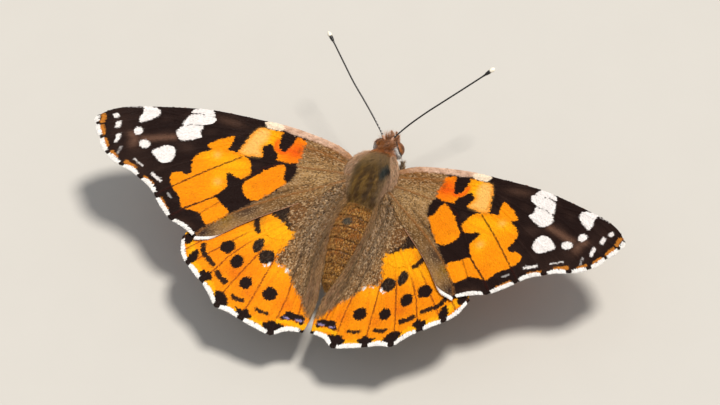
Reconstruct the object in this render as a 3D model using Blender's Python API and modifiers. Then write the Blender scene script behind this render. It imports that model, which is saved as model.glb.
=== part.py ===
# Painted lady butterfly, life size, standing on four legs with its wings spread.
# Body frame in millimetres: X to the butterfly's left, Y towards its tail, Z up, origin inside the thorax.
import math

import bmesh
import bpy
import numpy as np
from mathutils import Matrix, Vector

MM = 0.001

# Driving dimensions, in millimetres and degrees
BODY_PITCH = 5.0          # nose up, as it stands
STAND_HEIGHT = 5.2        # body origin above the floor
CENTRE_SHIFT = -3.1       # moves the whole along Y, so that its box is centred
WING_THICKNESS = 0.5
FOREWING_REACH = 31.3     # body axis to forewing tip
HINDWING_REACH = 16.85    # body axis to hindwing tip
ANTENNA_DIAMETER = 0.5
CLUB_DIAMETER = 0.95
CLUB_START = 0.8          # share of the feeler where the club starts
CLUB_SWELL = 0.12         # share of it over which the club reaches its full width
CLUB_TIP = 0.6            # the last radius over the one before it
EYE_RADII = (0.85, 1.02, 1.1)
EYE_CENTRE = (1.26, -5.35, 0.62)
FLOOR = 0.0

# Each wing plane: height over the body origin, rise per mm outwards, rise per mm backwards
WING_POSE = {
    ("forewing", "left"): (1.75, 0.130, 0.038),
    ("forewing", "right"): (1.62, 0.102, 0.136),
    ("hindwing", "left"): (1.77, 0.178, -0.019),
    ("hindwing", "right"): (1.16, 0.178, 0.046),
}
TIP_CURL = 0.45           # the forewing tip bends up
CURL_START = 26.0         # from this far out
TUCK = 1.0                # the hindwing lies this much lower where the forewing covers it
TUCK_START = 0.3          # from this far behind the forewing's inner margin it rises
TUCK_FADE = 4.0           # and over this length it comes back to its own plane

# Forewing outline seen from above: (outwards, backwards)
FOREWING_COSTA = [(2.9, -2.5), (4.9, -3.3), (7.9, -3.7), (11.0, -3.85), (15.0, -3.6), (18.7, -3.3),
                  (21.4, -2.8), (24.3, -2.05), (27.5, -1.1), (29.5, -0.15), (30.7, 0.85), (FOREWING_REACH, 1.8)]
FOREWING_VEIN_ENDS = [(FOREWING_REACH, 1.8), (31.1, 2.65), (30.15, 4.0), (28.85, 5.55), (26.95, 6.35),
                      (24.35, 7.15), (21.7, 8.75), (19.2, 10.8), (15.6, 12.1)]
FOREWING_INNER = [(2.9, 1.2), (5.0, 3.4), (7.5, 5.6), (9.7, 7.5), (11.4, 9.2), (13.2, 11.1), (15.6, 12.1)]

# Hindwing outline seen from above
HINDWING_COSTA = [(2.95, 1.4), (5.6, 2.0), (9.2, 3.9), (12.7, 6.6), (15.4, 9.3), (16.7, 11.1),
                  (HINDWING_REACH, 12.2)]
HINDWING_VEIN_ENDS = [(HINDWING_REACH, 12.2), (15.15, 15.3), (13.0, 16.8), (10.45, 19.2), (7.5, 19.7),
                      (3.85, 20.4), (0.6, 19.0)]
HINDWING_INNER = [(2.65, 2.7), (2.45, 4.5), (2.42, 6.5), (2.14, 8.5), (1.65, 10.5), (1.15, 12.2), (0.7, 13.6),
                  (0.35, 15.0), (0.35, 17.2), (0.6, 19.0)]

# How far the fringe draws in between each two vein ends, apex to tornus; a negative one bulges
FOREWING_DIPS = [0.0, 0.0, 0.0, 0.1, 0.35, 0.45, 0.15, 0.4]
HINDWING_DIPS = [-0.15, 0.2, 0.35, 0.4, 0.2, 0.6]

# Body sections along Y: (Y, centre height, half width, half height)
THORAX = [(-4.1, 0.55, 1.2, 1.2), (-3.4, 0.6, 2.05, 1.95), (-2.2, 0.65, 2.7, 2.4), (-0.6, 0.65, 2.9, 2.55),
          (1.0, 0.65, 2.65, 2.4), (2.4, 0.65, 2.0, 1.9)]
ABDOMEN = [(2.7, 0.65, 1.85, 1.75), (4.5, 0.75, 2.2, 2.1), (6.5, 0.75, 2.3, 2.15), (8.5, 0.6, 2.15, 1.95),
           (10.5, 0.4, 1.75, 1.6), (12.2, 0.2, 1.1, 1.05), (13.2, 0.15, 0.4, 0.4)]
HEAD = [(-4.42, 0.55, 0.75, 0.8), (-4.8, 0.55, 0.93, 1.1), (-5.5, 0.5, 0.96, 1.22), (-6.1, 0.4, 0.93, 1.05),
        (-6.5, 0.3, 0.55, 0.6)]

# Feelers and mouthparts, left side: points with their radius
ANTENNA = [(0.5, -5.65, 2.0), (1.95, -7.12, 2.5), (3.6, -8.7, 3.35), (5.29, -10.18, 4.0), (7.1, -12.0, 4.4),
           (8.7, -13.64, 4.75), (9.3, -14.2, 5.0), (9.78, -14.68, 5.23)]
PALP = [((0.5, -6.45, -0.6), 0.8), ((0.5, -6.85, -0.1), 1.0), ((0.48, -7.1, 0.5), 0.9),
        ((0.46, -7.2, 1.1), 0.45)]
PALP_RADIUS = 0.33
COIL_CENTRE = (-6.25, -2.0)     # Y and Z of the rolled proboscis
COIL_RADII = (0.95, 0.2)
COIL_TURNS = 1.5
COIL_THICKNESS = 0.4

# Legs, left side, in floor coordinates: X, Y from the body origin, height over the floor, radius
LEG_RADIUS = 0.3
MIDLEG = [(1.3, -1.2, 2.65, 1.2), (2.6, -1.9, 3.1, 1.15), (4.6, -2.9, 3.6, 1.0), (5.6, -3.5, 3.3, 0.95),
          (7.0, -4.3, 1.5, 0.9), (7.7, -4.7, 0.5, 0.85), (8.3, -5.1, 0.2, 0.85), (10.0, -6.1, 0.2, 0.85)]
HINDLEG = [(1.3, 1.5, 2.4, 1.2), (2.3, 2.7, 2.7, 1.15), (3.8, 4.6, 3.1, 1.0), (4.6, 5.6, 2.8, 0.95),
           (5.8, 7.4, 1.4, 0.9), (6.4, 8.4, 0.5, 0.85), (6.8, 9.1, 0.2, 0.85), (7.9, 11.0, 0.2, 0.85)]
FORELEG = [(1.15, -3.0, 2.85, 1.0), (1.2, -4.2, 3.0, 1.1), (1.05, -5.4, 3.45, 0.8)]

COLOURS = {
    "scaled wing": (0.78, 0.30, 0.03),
    "thorax hair": (0.20, 0.14, 0.07),
    "abdomen scales": (0.45, 0.22, 0.07),
    "head hair": (0.30, 0.20, 0.13),
    "compound eye": (0.24, 0.09, 0.03),
    "black cuticle": (0.02, 0.015, 0.012),
    "leg scales": (0.42, 0.32, 0.22),
}


def clear_scene():
    for thing in list(bpy.data.objects):
        bpy.data.objects.remove(thing, do_unlink=True)


def material(name, roughness=0.6):
    found = bpy.data.materials.get(name)
    if found:
        return found
    made = bpy.data.materials.new(name)
    made.use_nodes = True
    shader = made.node_tree.nodes["Principled BSDF"]
    shader.inputs["Base Color"].default_value = (*COLOURS[name], 1.0)
    shader.inputs["Roughness"].default_value = roughness
    shader.inputs["Metallic"].default_value = 0.0
    return made


def to_world():
    """Body frame in millimetres to the world in metres."""
    lift = Matrix.Translation((0.0, CENTRE_SHIFT * MM, STAND_HEIGHT * MM))
    tilt = Matrix.Rotation(math.radians(-BODY_PITCH), 4, "X")
    return lift @ tilt @ Matrix.Scale(MM, 4)


def floor_to_world():
    """Leg points, given over the floor, to the world in metres."""
    return Matrix.Translation((0.0, CENTRE_SHIFT * MM, 0.0)) @ Matrix.Scale(MM, 4)


def add_object(name, mesh, finish, group, roughness=0.6):
    thing = bpy.data.objects.new(name, mesh)
    mesh.materials.clear()
    mesh.materials.append(material(finish, roughness))
    group.objects.link(thing)
    return thing


def spline(points, count):
    """A smooth curve through the points, with count samples spaced by chord length."""
    pts = np.asarray(points, float)
    padded = np.vstack([2 * pts[0] - pts[1], pts, 2 * pts[-1] - pts[-2]])
    knots = np.concatenate([[0.0], np.cumsum(np.linalg.norm(np.diff(pts, axis=0), axis=1))])
    where = np.linspace(0.0, knots[-1], count)
    i = np.clip(np.searchsorted(knots, where, side="right") - 1, 0, len(pts) - 2)
    t = ((where - knots[i]) / (knots[i + 1] - knots[i]))[:, None]
    a, b, c, d = padded[i], padded[i + 1], padded[i + 2], padded[i + 3]
    return 0.5 * (2 * b + (c - a) * t + (2 * a - 5 * b + 4 * c - d) * t**2 + (3 * b - a - 3 * c + d) * t**3)


def scalloped(vein_ends, dips, per_cell):
    """The outer margin: from vein end to vein end, each step drawn inwards by a half sine."""
    ends = np.asarray(vein_ends, float)
    rows = [ends[:1]]
    for start, stop, dip in zip(ends[:-1], ends[1:], dips):
        t = np.linspace(0.0, 1.0, per_cell + 1)[1:, None]
        step = stop - start
        inwards = np.array([-step[1], step[0]]) / np.linalg.norm(step)
        rows.append(start + t * step + dip * np.sin(math.pi * t) * inwards)
    return np.vstack(rows)


def patch(front, rear, root, margin):
    """A four-sided patch blended from its edges: rows run root to margin, columns front to rear."""
    s = np.linspace(0.0, 1.0, len(front))[:, None, None]
    t = np.linspace(0.0, 1.0, len(margin))[None, :, None]
    edges = (1 - t) * front[:, None] + t * rear[:, None] + (1 - s) * root[None] + s * margin[None]
    corners = ((1 - s) * (1 - t) * front[0] + (1 - s) * t * rear[0]
               + s * (1 - t) * front[-1] + s * t * rear[-1])
    return edges - corners


def wing_height(kind, side, x, y):
    """Height of the wing plane, with the forewing's tip curl or the hindwing's tuck."""
    base, rise, back = WING_POSE[kind, side]
    z = base + rise * x + back * y
    if kind == "forewing":
        t = np.clip((x - CURL_START) / (FOREWING_REACH - CURL_START), 0.0, 1.0)
        return z + TIP_CURL * t * t
    start, stop = np.array(FOREWING_INNER[0]), np.array(FOREWING_INNER[-1])
    along = (stop - start) / np.linalg.norm(stop - start)
    past = (y - start[1]) * along[0] - (x - start[0]) * along[1]
    t = np.clip((past - TUCK_START) / TUCK_FADE, 0.0, 1.0)
    return z - TUCK * (1 - t * t * (3 - 2 * t))


def wing(kind, side, group):
    """A sheet over the blended outline, thickened evenly both ways."""
    if kind == "forewing":
        costa, inner = FOREWING_COSTA, FOREWING_INNER
        margin = scalloped(FOREWING_VEIN_ENDS, FOREWING_DIPS, 4)
    else:
        costa, inner = HINDWING_COSTA, HINDWING_INNER
        margin = scalloped(HINDWING_VEIN_ENDS, HINDWING_DIPS, 5)
    rows = 9
    front = spline(costa, rows)
    rear = spline(inner, rows)
    root = np.linspace(front[0], rear[0], len(margin))
    grid = patch(front, rear, root, margin)
    x, y = grid[..., 0], grid[..., 1]
    z = wing_height(kind, side, x, y)
    sign = 1 if side == "left" else -1
    points = np.stack([sign * x, y, z], axis=-1).reshape(-1, 3)
    columns = len(margin)
    faces = []
    for i in range(rows - 1):
        for j in range(columns - 1):
            a = i * columns + j
            quad = (a, a + columns, a + columns + 1, a + 1)
            faces.append(quad if side == "left" else quad[::-1])
    mesh = bpy.data.meshes.new(f"{kind}_{side}")
    mesh.from_pydata([tuple(p) for p in points], [], faces)
    mesh.transform(to_world())
    thing = add_object(f"{kind}_{side}", mesh, "scaled wing", group, 0.55)
    shell = thing.modifiers.new("thickness", "SOLIDIFY")
    shell.thickness = WING_THICKNESS * MM
    shell.offset = 0.0
    mesh.update()


def loft(name, sections, count, sides, squareness, finish, group):
    """Rings of a superellipse carried along Y, closed by a flat cap at each end."""
    rows = spline(sections, count)
    turn = np.linspace(0.0, 2 * math.pi, sides, endpoint=False)
    across = np.sign(np.cos(turn)) * np.abs(np.cos(turn)) ** squareness
    upwards = np.sign(np.sin(turn)) * np.abs(np.sin(turn)) ** squareness
    points = np.stack([rows[:, None, 2] * across, np.repeat(rows[:, 0:1], sides, axis=1),
                       rows[:, None, 1] + rows[:, None, 3] * upwards], axis=-1).reshape(-1, 3)
    faces = [tuple(range(sides)), tuple(range(len(points) - 1, len(points) - sides - 1, -1))]
    for i in range(count - 1):
        for j in range(sides):
            k = (j + 1) % sides
            faces.append((i * sides + k, i * sides + j, (i + 1) * sides + j, (i + 1) * sides + k))
    mesh = bpy.data.meshes.new(name)
    mesh.from_pydata([tuple(p) for p in points], [], faces)
    mesh.transform(to_world())
    shape = bmesh.new()
    shape.from_mesh(mesh)
    bmesh.ops.recalc_face_normals(shape, faces=shape.faces)
    shape.to_mesh(mesh)
    shape.free()
    mesh.shade_smooth()
    return add_object(name, mesh, finish, group)


def tube(name, points, radii, placing, finish, group, sides=2):
    """A round tube along the points, with its own radius at each."""
    curve = bpy.data.curves.new(name + "_path", "CURVE")
    curve.dimensions = "3D"
    curve.bevel_depth = MM
    curve.bevel_resolution = sides
    curve.use_fill_caps = True
    line = curve.splines.new("POLY")
    line.points.add(len(points) - 1)
    for knot, place, radius in zip(line.points, points, radii):
        knot.co = (*(placing @ Vector(place)), 1.0)
        knot.radius = radius
    thing = bpy.data.objects.new(name + "_path", curve)
    group.objects.link(thing)
    bpy.context.view_layer.update()
    seen = thing.evaluated_get(bpy.context.evaluated_depsgraph_get())
    mesh = bpy.data.meshes.new_from_object(seen)
    mesh.name = name
    bpy.data.objects.remove(thing, do_unlink=True)
    shape = bmesh.new()
    shape.from_mesh(mesh)
    bmesh.ops.remove_doubles(shape, verts=shape.verts, dist=0.00001)
    cut = bmesh.ops.bisect_plane(shape, geom=shape.verts[:] + shape.edges[:] + shape.faces[:],
                                 plane_co=(0, 0, FLOOR), plane_no=(0, 0, -1), clear_outer=True)
    rim = [e for e in cut["geom_cut"] if isinstance(e, bmesh.types.BMEdge)]
    if rim:
        bmesh.ops.holes_fill(shape, edges=rim)
    bmesh.ops.recalc_face_normals(shape, faces=shape.faces)
    shape.to_mesh(mesh)
    shape.free()
    mesh.shade_smooth()
    return add_object(name, mesh, finish, group)


def mirrored(points, side):
    sign = 1 if side == "left" else -1
    return [(sign * p[0], p[1], p[2]) for p in points]


def antenna(side, group):
    """A thin shaft that swells to a club over its last fifth and narrows at the very tip."""
    path = spline(ANTENNA, 15)
    share = np.linspace(0.0, 1.0, len(path))
    swell = np.clip((share - CLUB_START) / CLUB_SWELL, 0.0, 1.0)
    radii = (ANTENNA_DIAMETER + (CLUB_DIAMETER - ANTENNA_DIAMETER) * swell) / 2
    radii[-1] *= CLUB_TIP
    tube(f"antenna_{side}", mirrored(path, side), radii, to_world(), "black cuticle", group)


def eye(side, group):
    """Half an ellipsoid, its flat face towards the head."""
    sign = 1 if side == "left" else -1
    shape = bmesh.new()
    bmesh.ops.create_uvsphere(shape, u_segments=14, v_segments=9, radius=1.0)
    bmesh.ops.scale(shape, vec=EYE_RADII, verts=shape.verts)
    cut = bmesh.ops.bisect_plane(shape, geom=shape.verts[:] + shape.edges[:] + shape.faces[:],
                                 plane_co=(0, 0, 0), plane_no=(-sign, 0, 0), clear_outer=True, dist=0.0001)
    rim = [e for e in cut["geom_cut"] if isinstance(e, bmesh.types.BMEdge)]
    bmesh.ops.holes_fill(shape, edges=rim)
    place = Vector((sign * EYE_CENTRE[0], EYE_CENTRE[1], EYE_CENTRE[2]))
    bmesh.ops.transform(shape, matrix=to_world() @ Matrix.Translation(place), verts=shape.verts)
    bmesh.ops.recalc_face_normals(shape, faces=shape.faces)
    mesh = bpy.data.meshes.new(f"eye_{side}")
    shape.to_mesh(mesh)
    shape.free()
    mesh.shade_smooth()
    add_object(f"eye_{side}", mesh, "compound eye", group, 0.25)


def proboscis(group):
    """The rolled tongue: a flat spiral under the head."""
    turn = np.linspace(0.0, 1.0, 20)
    angle = math.pi / 2 - turn * COIL_TURNS * 2 * math.pi
    radius = COIL_RADII[0] + (COIL_RADII[1] - COIL_RADII[0]) * turn
    middle_y, middle_z = COIL_CENTRE
    path = np.stack([0 * turn, middle_y + radius * np.cos(angle), middle_z + radius * np.sin(angle)], 1)
    tube("proboscis", path, [COIL_THICKNESS / 2] * len(path), to_world(), "black cuticle", group, 1)


def leg(name, points, side, group):
    """One leg from hip to claw. Its foot lies along the floor and is cut flat there."""
    rows = spline(points, 17)
    radii = rows[:, 3] * LEG_RADIUS
    tube(f"{name}_{side}", mirrored(rows, side), radii, floor_to_world(), "leg scales", group, 1)


def palp(side, group):
    path = spline([p for p, _ in PALP], 7)
    radii = np.interp(np.linspace(0, 1, 7), np.linspace(0, 1, len(PALP)), [r for _, r in PALP]) * PALP_RADIUS
    tube(f"palp_{side}", mirrored(path, side), radii, to_world(), "head hair", group)


def main():
    clear_scene()
    group = bpy.data.collections.new("painted_lady")
    bpy.context.scene.collection.children.link(group)
    loft("thorax", THORAX, 12, 18, 0.95, "thorax hair", group)
    loft("abdomen", ABDOMEN, 15, 18, 0.95, "abdomen scales", group)
    loft("head", HEAD, 9, 16, 0.8, "head hair", group)
    proboscis(group)
    for side in ("left", "right"):
        wing("forewing", side, group)
        wing("hindwing", side, group)
        antenna(side, group)
        eye(side, group)
        palp(side, group)
        leg("foreleg", FORELEG, side, group)
        leg("midleg", MIDLEG, side, group)
        leg("hindleg", HINDLEG, side, group)


main()
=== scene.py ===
import math

import bpy
import numpy as np
from mathutils import Matrix, Vector


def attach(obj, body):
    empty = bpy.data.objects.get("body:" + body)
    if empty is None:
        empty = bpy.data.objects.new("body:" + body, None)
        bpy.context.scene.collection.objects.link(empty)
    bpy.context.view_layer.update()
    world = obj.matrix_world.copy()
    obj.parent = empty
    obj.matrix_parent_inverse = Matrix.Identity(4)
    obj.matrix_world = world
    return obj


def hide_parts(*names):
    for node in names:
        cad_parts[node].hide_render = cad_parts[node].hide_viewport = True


# A painted lady butterfly, life size, standing with its wings spread.
# Shapes are worked out in the body frame, in millimetres: X to the butterfly's left, Y to its tail, Z up.
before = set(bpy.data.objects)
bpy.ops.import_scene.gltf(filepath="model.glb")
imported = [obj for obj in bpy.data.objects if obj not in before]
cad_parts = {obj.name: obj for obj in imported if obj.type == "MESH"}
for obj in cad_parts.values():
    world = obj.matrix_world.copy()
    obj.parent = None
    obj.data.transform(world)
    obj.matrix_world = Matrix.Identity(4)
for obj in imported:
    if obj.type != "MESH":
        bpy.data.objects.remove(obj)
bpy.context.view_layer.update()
mm = 0.001
pose = {"pitch": 5.0, "height": 5.2, "shift": -3.1}     # nose up in degrees, body origin over the floor
sides = {"Left": 1, "Right": -1}


def toWorld(points):
    # turn about X by the pitch, then lift: y' = y cos + z sin, z' = z cos - y sin
    a = math.radians(pose["pitch"])
    x, y, z = points[..., 0], points[..., 1], points[..., 2]
    turned = [x, y * math.cos(a) + z * math.sin(a) + pose["shift"], z * math.cos(a) - y * math.sin(a) + pose["height"]]
    return np.stack(turned, axis=-1)


def overFloor(points):
    # leg points are given over the floor already and only move along Y
    return points + np.array([0.0, pose["shift"], 0.0])


# Colours and materials

def tone(code):
    # sRGB hex to linear light
    c = np.array([int(code[i:i + 2], 16) for i in (1, 3, 5)]) / 255
    return np.where(c <= 0.04045, c / 12.92, ((c + 0.055) / 1.055) ** 2.4)


def addNode(tree, kind, inputs=None, **settings):
    # one shader node with its settings; an input is a value, or the socket that feeds it
    made = tree.nodes.new("ShaderNode" + kind)
    for key, value in settings.items():
        setattr(made, key, value)
    for key, value in (inputs or {}).items():
        if isinstance(value, bpy.types.NodeSocket):
            tree.links.new(value, made.inputs[key])
        else:
            made.inputs[key].default_value = value
    return made


def newMaterial(name, **shaderValues):
    made = bpy.data.materials.new(name)
    made.use_nodes = True
    tree = made.node_tree
    shader = tree.nodes["Principled BSDF"]
    for key, value in shaderValues.items():
        shader.inputs[key.replace("_", " ")].default_value = value
    place = addNode(tree, "TexCoord").outputs["Object"]
    return made, tree, shader, place


def perMm(size):
    # texture scale whose pattern repeats about every size millimetres
    return 1.0 / (size * mm)


def toned(tree, shade):
    # the piece's own colour, kept in its mesh as tone, times shade
    own = addNode(tree, "Attribute", attribute_name="tone").outputs["Color"]
    return addNode(tree, "VectorMath", {0: own, "Scale": shade}, operation="SCALE").outputs[0]


def finishWith(tree, shader, colour, rough, height, deep):
    # colour, roughness range and bump into the shader; deep is the bump's height in millimetres
    tree.links.new(colour, shader.inputs["Base Color"])
    if rough:
        spread = addNode(tree, "MapRange", {"Value": rough[0], "To Min": rough[1], "To Max": rough[2]})
        tree.links.new(spread.outputs["Result"], shader.inputs["Roughness"])
    bump = addNode(tree, "Bump", {"Height": height, "Distance": deep * mm, "Strength": 1.0})
    tree.links.new(bump.outputs["Normal"], shader.inputs["Normal"])


def chitinScales(name, ridges, rough, sheen):
    # Overlapping chitin scales, ribbed along their length: a soft, matt, slightly silky surface.
    # Real ribs are 0.002 mm apart; here each scale shows a few, so that they are seen.
    made, tree, shader, place = newMaterial(name, IOR=1.55, Specular_IOR_Level=0.1, Sheen_Weight=sheen,
                                            Sheen_Roughness=0.4)
    across = addNode(tree, "Attribute", attribute_name="across").outputs["Fac"]
    ribs = addNode(tree, "Math", {0: across, 1: ridges * math.pi}, operation="MULTIPLY").outputs[0]
    ribs = addNode(tree, "Math", {0: ribs}, operation="COSINE").outputs[0]
    grain = addNode(tree, "TexNoise", {"Vector": place, "Scale": perMm(0.09), "Detail": 2.0}).outputs["Fac"]
    shade = addNode(tree, "MapRange", {"Value": ribs, "From Min": -1.0, "To Min": 0.84,
                                       "To Max": 1.06}).outputs["Result"]
    mottle = addNode(tree, "MapRange", {"Value": grain, "To Min": 0.8, "To Max": 1.2}).outputs["Result"]
    shade = addNode(tree, "Math", {0: shade, 1: mottle}, operation="MULTIPLY").outputs[0]
    finishWith(tree, shader, toned(tree, shade), (grain, *rough), ribs, 0.004)
    return made


def wingMembrane():
    # Chitin membrane with its ground layer of scales: matt, with a fine grain between the larger scales.
    made, tree, shader, place = newMaterial("scaleCoveredMembrane", IOR=1.55, Specular_IOR_Level=0.14)
    cells = addNode(tree, "TexVoronoi", {"Vector": place, "Scale": perMm(0.12)}, feature="F1")
    speck = addNode(tree, "SeparateColor", {"Color": cells.outputs["Color"]}).outputs["Red"]
    shade = addNode(tree, "MapRange", {"Value": speck, "To Min": 0.7, "To Max": 1.15}).outputs["Result"]
    finishWith(tree, shader, toned(tree, shade), (speck, 0.55, 0.75), cells.outputs["Distance"], 0.02)
    return made


def grained(name, size, detail, shades, rough, deep, **shaderValues):
    # one grain, size millimetres wide, shades the colour between two shares, sets the roughness and lifts the surface
    made, tree, shader, place = newMaterial(name, **shaderValues)
    grain = addNode(tree, "TexNoise", {"Vector": place, "Scale": perMm(size), "Detail": detail}).outputs["Fac"]
    shade = addNode(tree, "MapRange", {"Value": grain, "To Min": shades[0], "To Max": shades[1]}).outputs["Result"]
    finishWith(tree, shader, toned(tree, shade), (grain, *rough), grain, deep)
    return made


def softHair(name, rough, sheen):
    # Hollow chitin hair: a satin strand, paler towards its tip, that gives the body its soft bloom.
    return grained(name, 0.15, 3.0, (0.75, 1.25), rough, 0.01, IOR=1.55, Specular_IOR_Level=0.3,
                   Sheen_Weight=sheen, Sheen_Roughness=0.35)


def bodyCuticle():
    # Sclerotised cuticle under the coat: dark, leathery and finely pitted where hair roots sit.
    made, tree, shader, place = newMaterial("bodyCuticle", IOR=1.56)
    pits = addNode(tree, "TexVoronoi", {"Vector": place, "Scale": perMm(0.14)}, feature="F1").outputs["Distance"]
    cloud = addNode(tree, "TexNoise", {"Vector": place, "Scale": perMm(0.8), "Detail": 4.0}).outputs["Fac"]
    shade = addNode(tree, "MapRange", {"Value": cloud, "To Min": 0.6, "To Max": 1.3}).outputs["Result"]
    finishWith(tree, shader, toned(tree, shade), (cloud, 0.4, 0.65), pits, 0.03)
    return made


def polishedCuticle(name, rough, grainSize):
    # Bare smooth cuticle of feelers, tongue, legs and claws: dark, with a waxy shine and fine rings of grain.
    return grained(name, grainSize, 4.0, (0.7, 1.3), rough, 0.012, IOR=1.56)


def facetedCornea():
    # Clear facet lenses over amber pigment: a glossy dome under a fine honeycomb.
    # Real facets are 0.025 mm across; these are 0.07 mm, so that the honeycomb shows.
    made, tree, shader, place = newMaterial("facetedCornea", IOR=1.5, Specular_IOR_Level=0.3, Coat_Weight=0.15,
                                            Coat_Roughness=0.2)
    cells = addNode(tree, "TexVoronoi", {"Vector": place, "Scale": perMm(0.07), "Randomness": 0.25}, feature="F1")
    away = cells.outputs["Distance"]
    lens = addNode(tree, "MapRange", {"Value": away, "From Max": 0.6, "To Min": 1.0, "To Max": 0.0}).outputs["Result"]
    patches = addNode(tree, "TexNoise", {"Vector": place, "Scale": perMm(0.55), "Detail": 2.0}).outputs["Fac"]
    shade = addNode(tree, "MapRange", {"Value": patches, "From Min": 0.35, "From Max": 0.65, "To Min": 0.45,
                                       "To Max": 1.25})
    rim = addNode(tree, "MapRange", {"Value": lens, "To Min": 0.55, "To Max": 1.1}).outputs["Result"]
    shade = addNode(tree, "Math", {0: shade.outputs["Result"], 1: rim}, operation="MULTIPLY").outputs[0]
    finishWith(tree, shader, toned(tree, shade), (lens, 0.5, 0.32), lens, 0.012)
    return made


# Lines and areas in the plane

def cubic(a, b, c, d, t):
    # from b to c; the slope at each end is half the step between that point's neighbours
    return 0.5 * (2 * b + (c - a) * t + (2 * a - 5 * b + 4 * c - d) * t**2 + (3 * b - a - 3 * c + d) * t**3)


def curveThrough(points, count):
    # a smooth line of cubics through the points, at an even pace
    pts = np.asarray(points, float)
    padded = np.vstack([2 * pts[0] - pts[1], pts, 2 * pts[-1] - pts[-2]])
    knots = np.concatenate([[0.0], np.cumsum(np.linalg.norm(np.diff(pts, axis=0), axis=1))])
    where = np.linspace(0.0, knots[-1], count)
    i = np.clip(np.searchsorted(knots, where, side="right") - 1, 0, len(pts) - 2)
    t = ((where - knots[i]) / (knots[i + 1] - knots[i]))[:, None]
    return cubic(padded[i], padded[i + 1], padded[i + 2], padded[i + 3], t)


def ringThrough(points, perSpan=4):
    # the same cubic round a closed outline, with perSpan samples between two points
    p = np.asarray(points, float)
    t = (np.arange(perSpan) / perSpan)[None, :, None]
    return cubic(*(np.roll(p, k, axis=0)[:, None] for k in (1, 0, -1, -2)), t).reshape(-1, 2)


farOff = 1.5    # mm; distances are worked out up to this far from a mark


def stretchDistance(px, py, a, b):
    # squared distance from each point to the nearest of the straight stretches a to b
    step = b - a
    long = np.maximum((step**2).sum(1), 1e-9)
    t = limited(((px - a[:, 0]) * step[:, 0] + (py - a[:, 1]) * step[:, 1]) / long)
    return ((px - a[:, 0] - t * step[:, 0]) ** 2 + (py - a[:, 1] - t * step[:, 1]) ** 2).min(1)


def within(x, y, low, high):
    return (x > low[0] - farOff) & (x < high[0] + farOff) & (y > low[1] - farOff) & (y < high[1] + farOff)


def depthInside(x, y, outline):
    # distance to the outline in millimetres, positive inside; inside is where a ray crosses it an odd number of times
    a = ringThrough(outline).astype(np.float32)
    b = np.roll(a, -1, axis=0)
    near = within(x, y, a.min(0), a.max(0))
    depth = np.full(x.shape, -farOff, np.float32)
    if near.any():
        px, py = x[near][:, None].astype(np.float32), y[near][:, None].astype(np.float32)
        rise = np.where(np.abs(b[:, 1] - a[:, 1]) < 1e-6, 1e-6, b[:, 1] - a[:, 1])
        crossed = ((a[:, 1] > py) != (b[:, 1] > py)) & (px < (b[:, 0] - a[:, 0]) * (py - a[:, 1]) / rise + a[:, 0])
        far = np.sqrt(stretchDistance(px, py, a, b))
        depth[near] = np.where(crossed.sum(1) % 2 == 1, far, -far)
    return depth


def lineDistance(x, y, points, count=14):
    # distance in millimetres to a smooth line through the points
    line = curveThrough(points, count).astype(np.float32)
    near = within(x, y, line.min(0), line.max(0))
    away = np.full(x.shape, farOff, np.float32)
    if near.any():
        px, py = x[near][:, None].astype(np.float32), y[near][:, None].astype(np.float32)
        away[near] = np.sqrt(stretchDistance(px, py, line[:-1], line[1:]))
    return away


def spotDepth(x, y, spot):
    # depth inside an upright oval (x, y, half width, half height)
    cx, cy, rx, ry = spot
    return (1 - np.sqrt(((x - cx) / rx) ** 2 + ((y - cy) / ry) ** 2)) * min(rx, ry)


def limited(value):
    # held between 0 and 1
    return np.clip(value, 0, 1)


def rising(t):
    # 0 to 1 as t goes from 0 to 1, level at both ends: 3 t squared less 2 t cubed
    t = limited(t)
    return t * t * (3 - 2 * t)


def cover(depth, soft):
    # 0 outside a mark, 1 inside, over a soft edge
    return rising(depth / soft + 0.5)


def bell(away, wide):
    # 1 in the middle, fading as exp(-(away / wide) squared)
    return np.exp(-(away / wide) ** 2)


def ripple(x, y, size, seed=0.0):
    # smooth unevenness from -1 to 1: three crossed waves about size millimetres long
    k = 2 * math.pi / size
    a = np.sin(k * (0.92 * x + 0.31 * y) + seed) + np.sin(k * (-0.37 * x + 1.13 * y) + 2.1 * seed + 1)
    return (a + np.sin(k * (0.61 * x - 0.83 * y) * 1.7 + 3.3 * seed + 2)) / 3


# Mesh making

def makePiece(name, points, faces, material, tones, replaced=(), across=None, bakeMap=None, leg=False):
    # points and per-point colours into one closed mesh that rides on the body; faces are arrays of corner numbers
    mesh = bpy.data.meshes.new(name)
    placed = (overFloor(points) if leg else toWorld(points)) * mm
    corners = np.concatenate([f.reshape(-1) for f in faces]).astype(np.int32)
    sizes = np.concatenate([np.full(len(f), f.shape[1]) for f in faces])
    starts = np.concatenate([[0], np.cumsum(sizes)[:-1]]).astype(np.int32)
    mesh.vertices.add(len(placed))
    mesh.vertices.foreach_set("co", placed.astype(np.float32).reshape(-1))
    mesh.loops.add(len(corners))
    mesh.loops.foreach_set("vertex_index", corners)
    mesh.polygons.add(len(sizes))
    mesh.polygons.foreach_set("loop_start", starts)
    mesh.update(calc_edges=True)
    mesh.shade_smooth()
    rgba = np.ones((len(placed), 4), np.float32)
    rgba[:, :3] = tones
    mesh.attributes.new("tone", "FLOAT_COLOR", "POINT").data.foreach_set("color", rgba.reshape(-1))
    if across is not None:
        mesh.attributes.new("across", "FLOAT", "POINT").data.foreach_set("value", across.astype(np.float32))
    if bakeMap is not None:
        flat = mesh.uv_layers.new(name="OFBake")
        flat.data.foreach_set("uv", bakeMap[corners].astype(np.float32).reshape(-1))
    mesh.materials.append(material)
    piece = bpy.data.objects.new(name, mesh)
    bpy.context.scene.collection.objects.link(piece)
    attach(piece, "root")
    if replaced:
        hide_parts(*replaced)
    print(name, int((sizes - 2).sum()), "triangles")
    return piece


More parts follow.
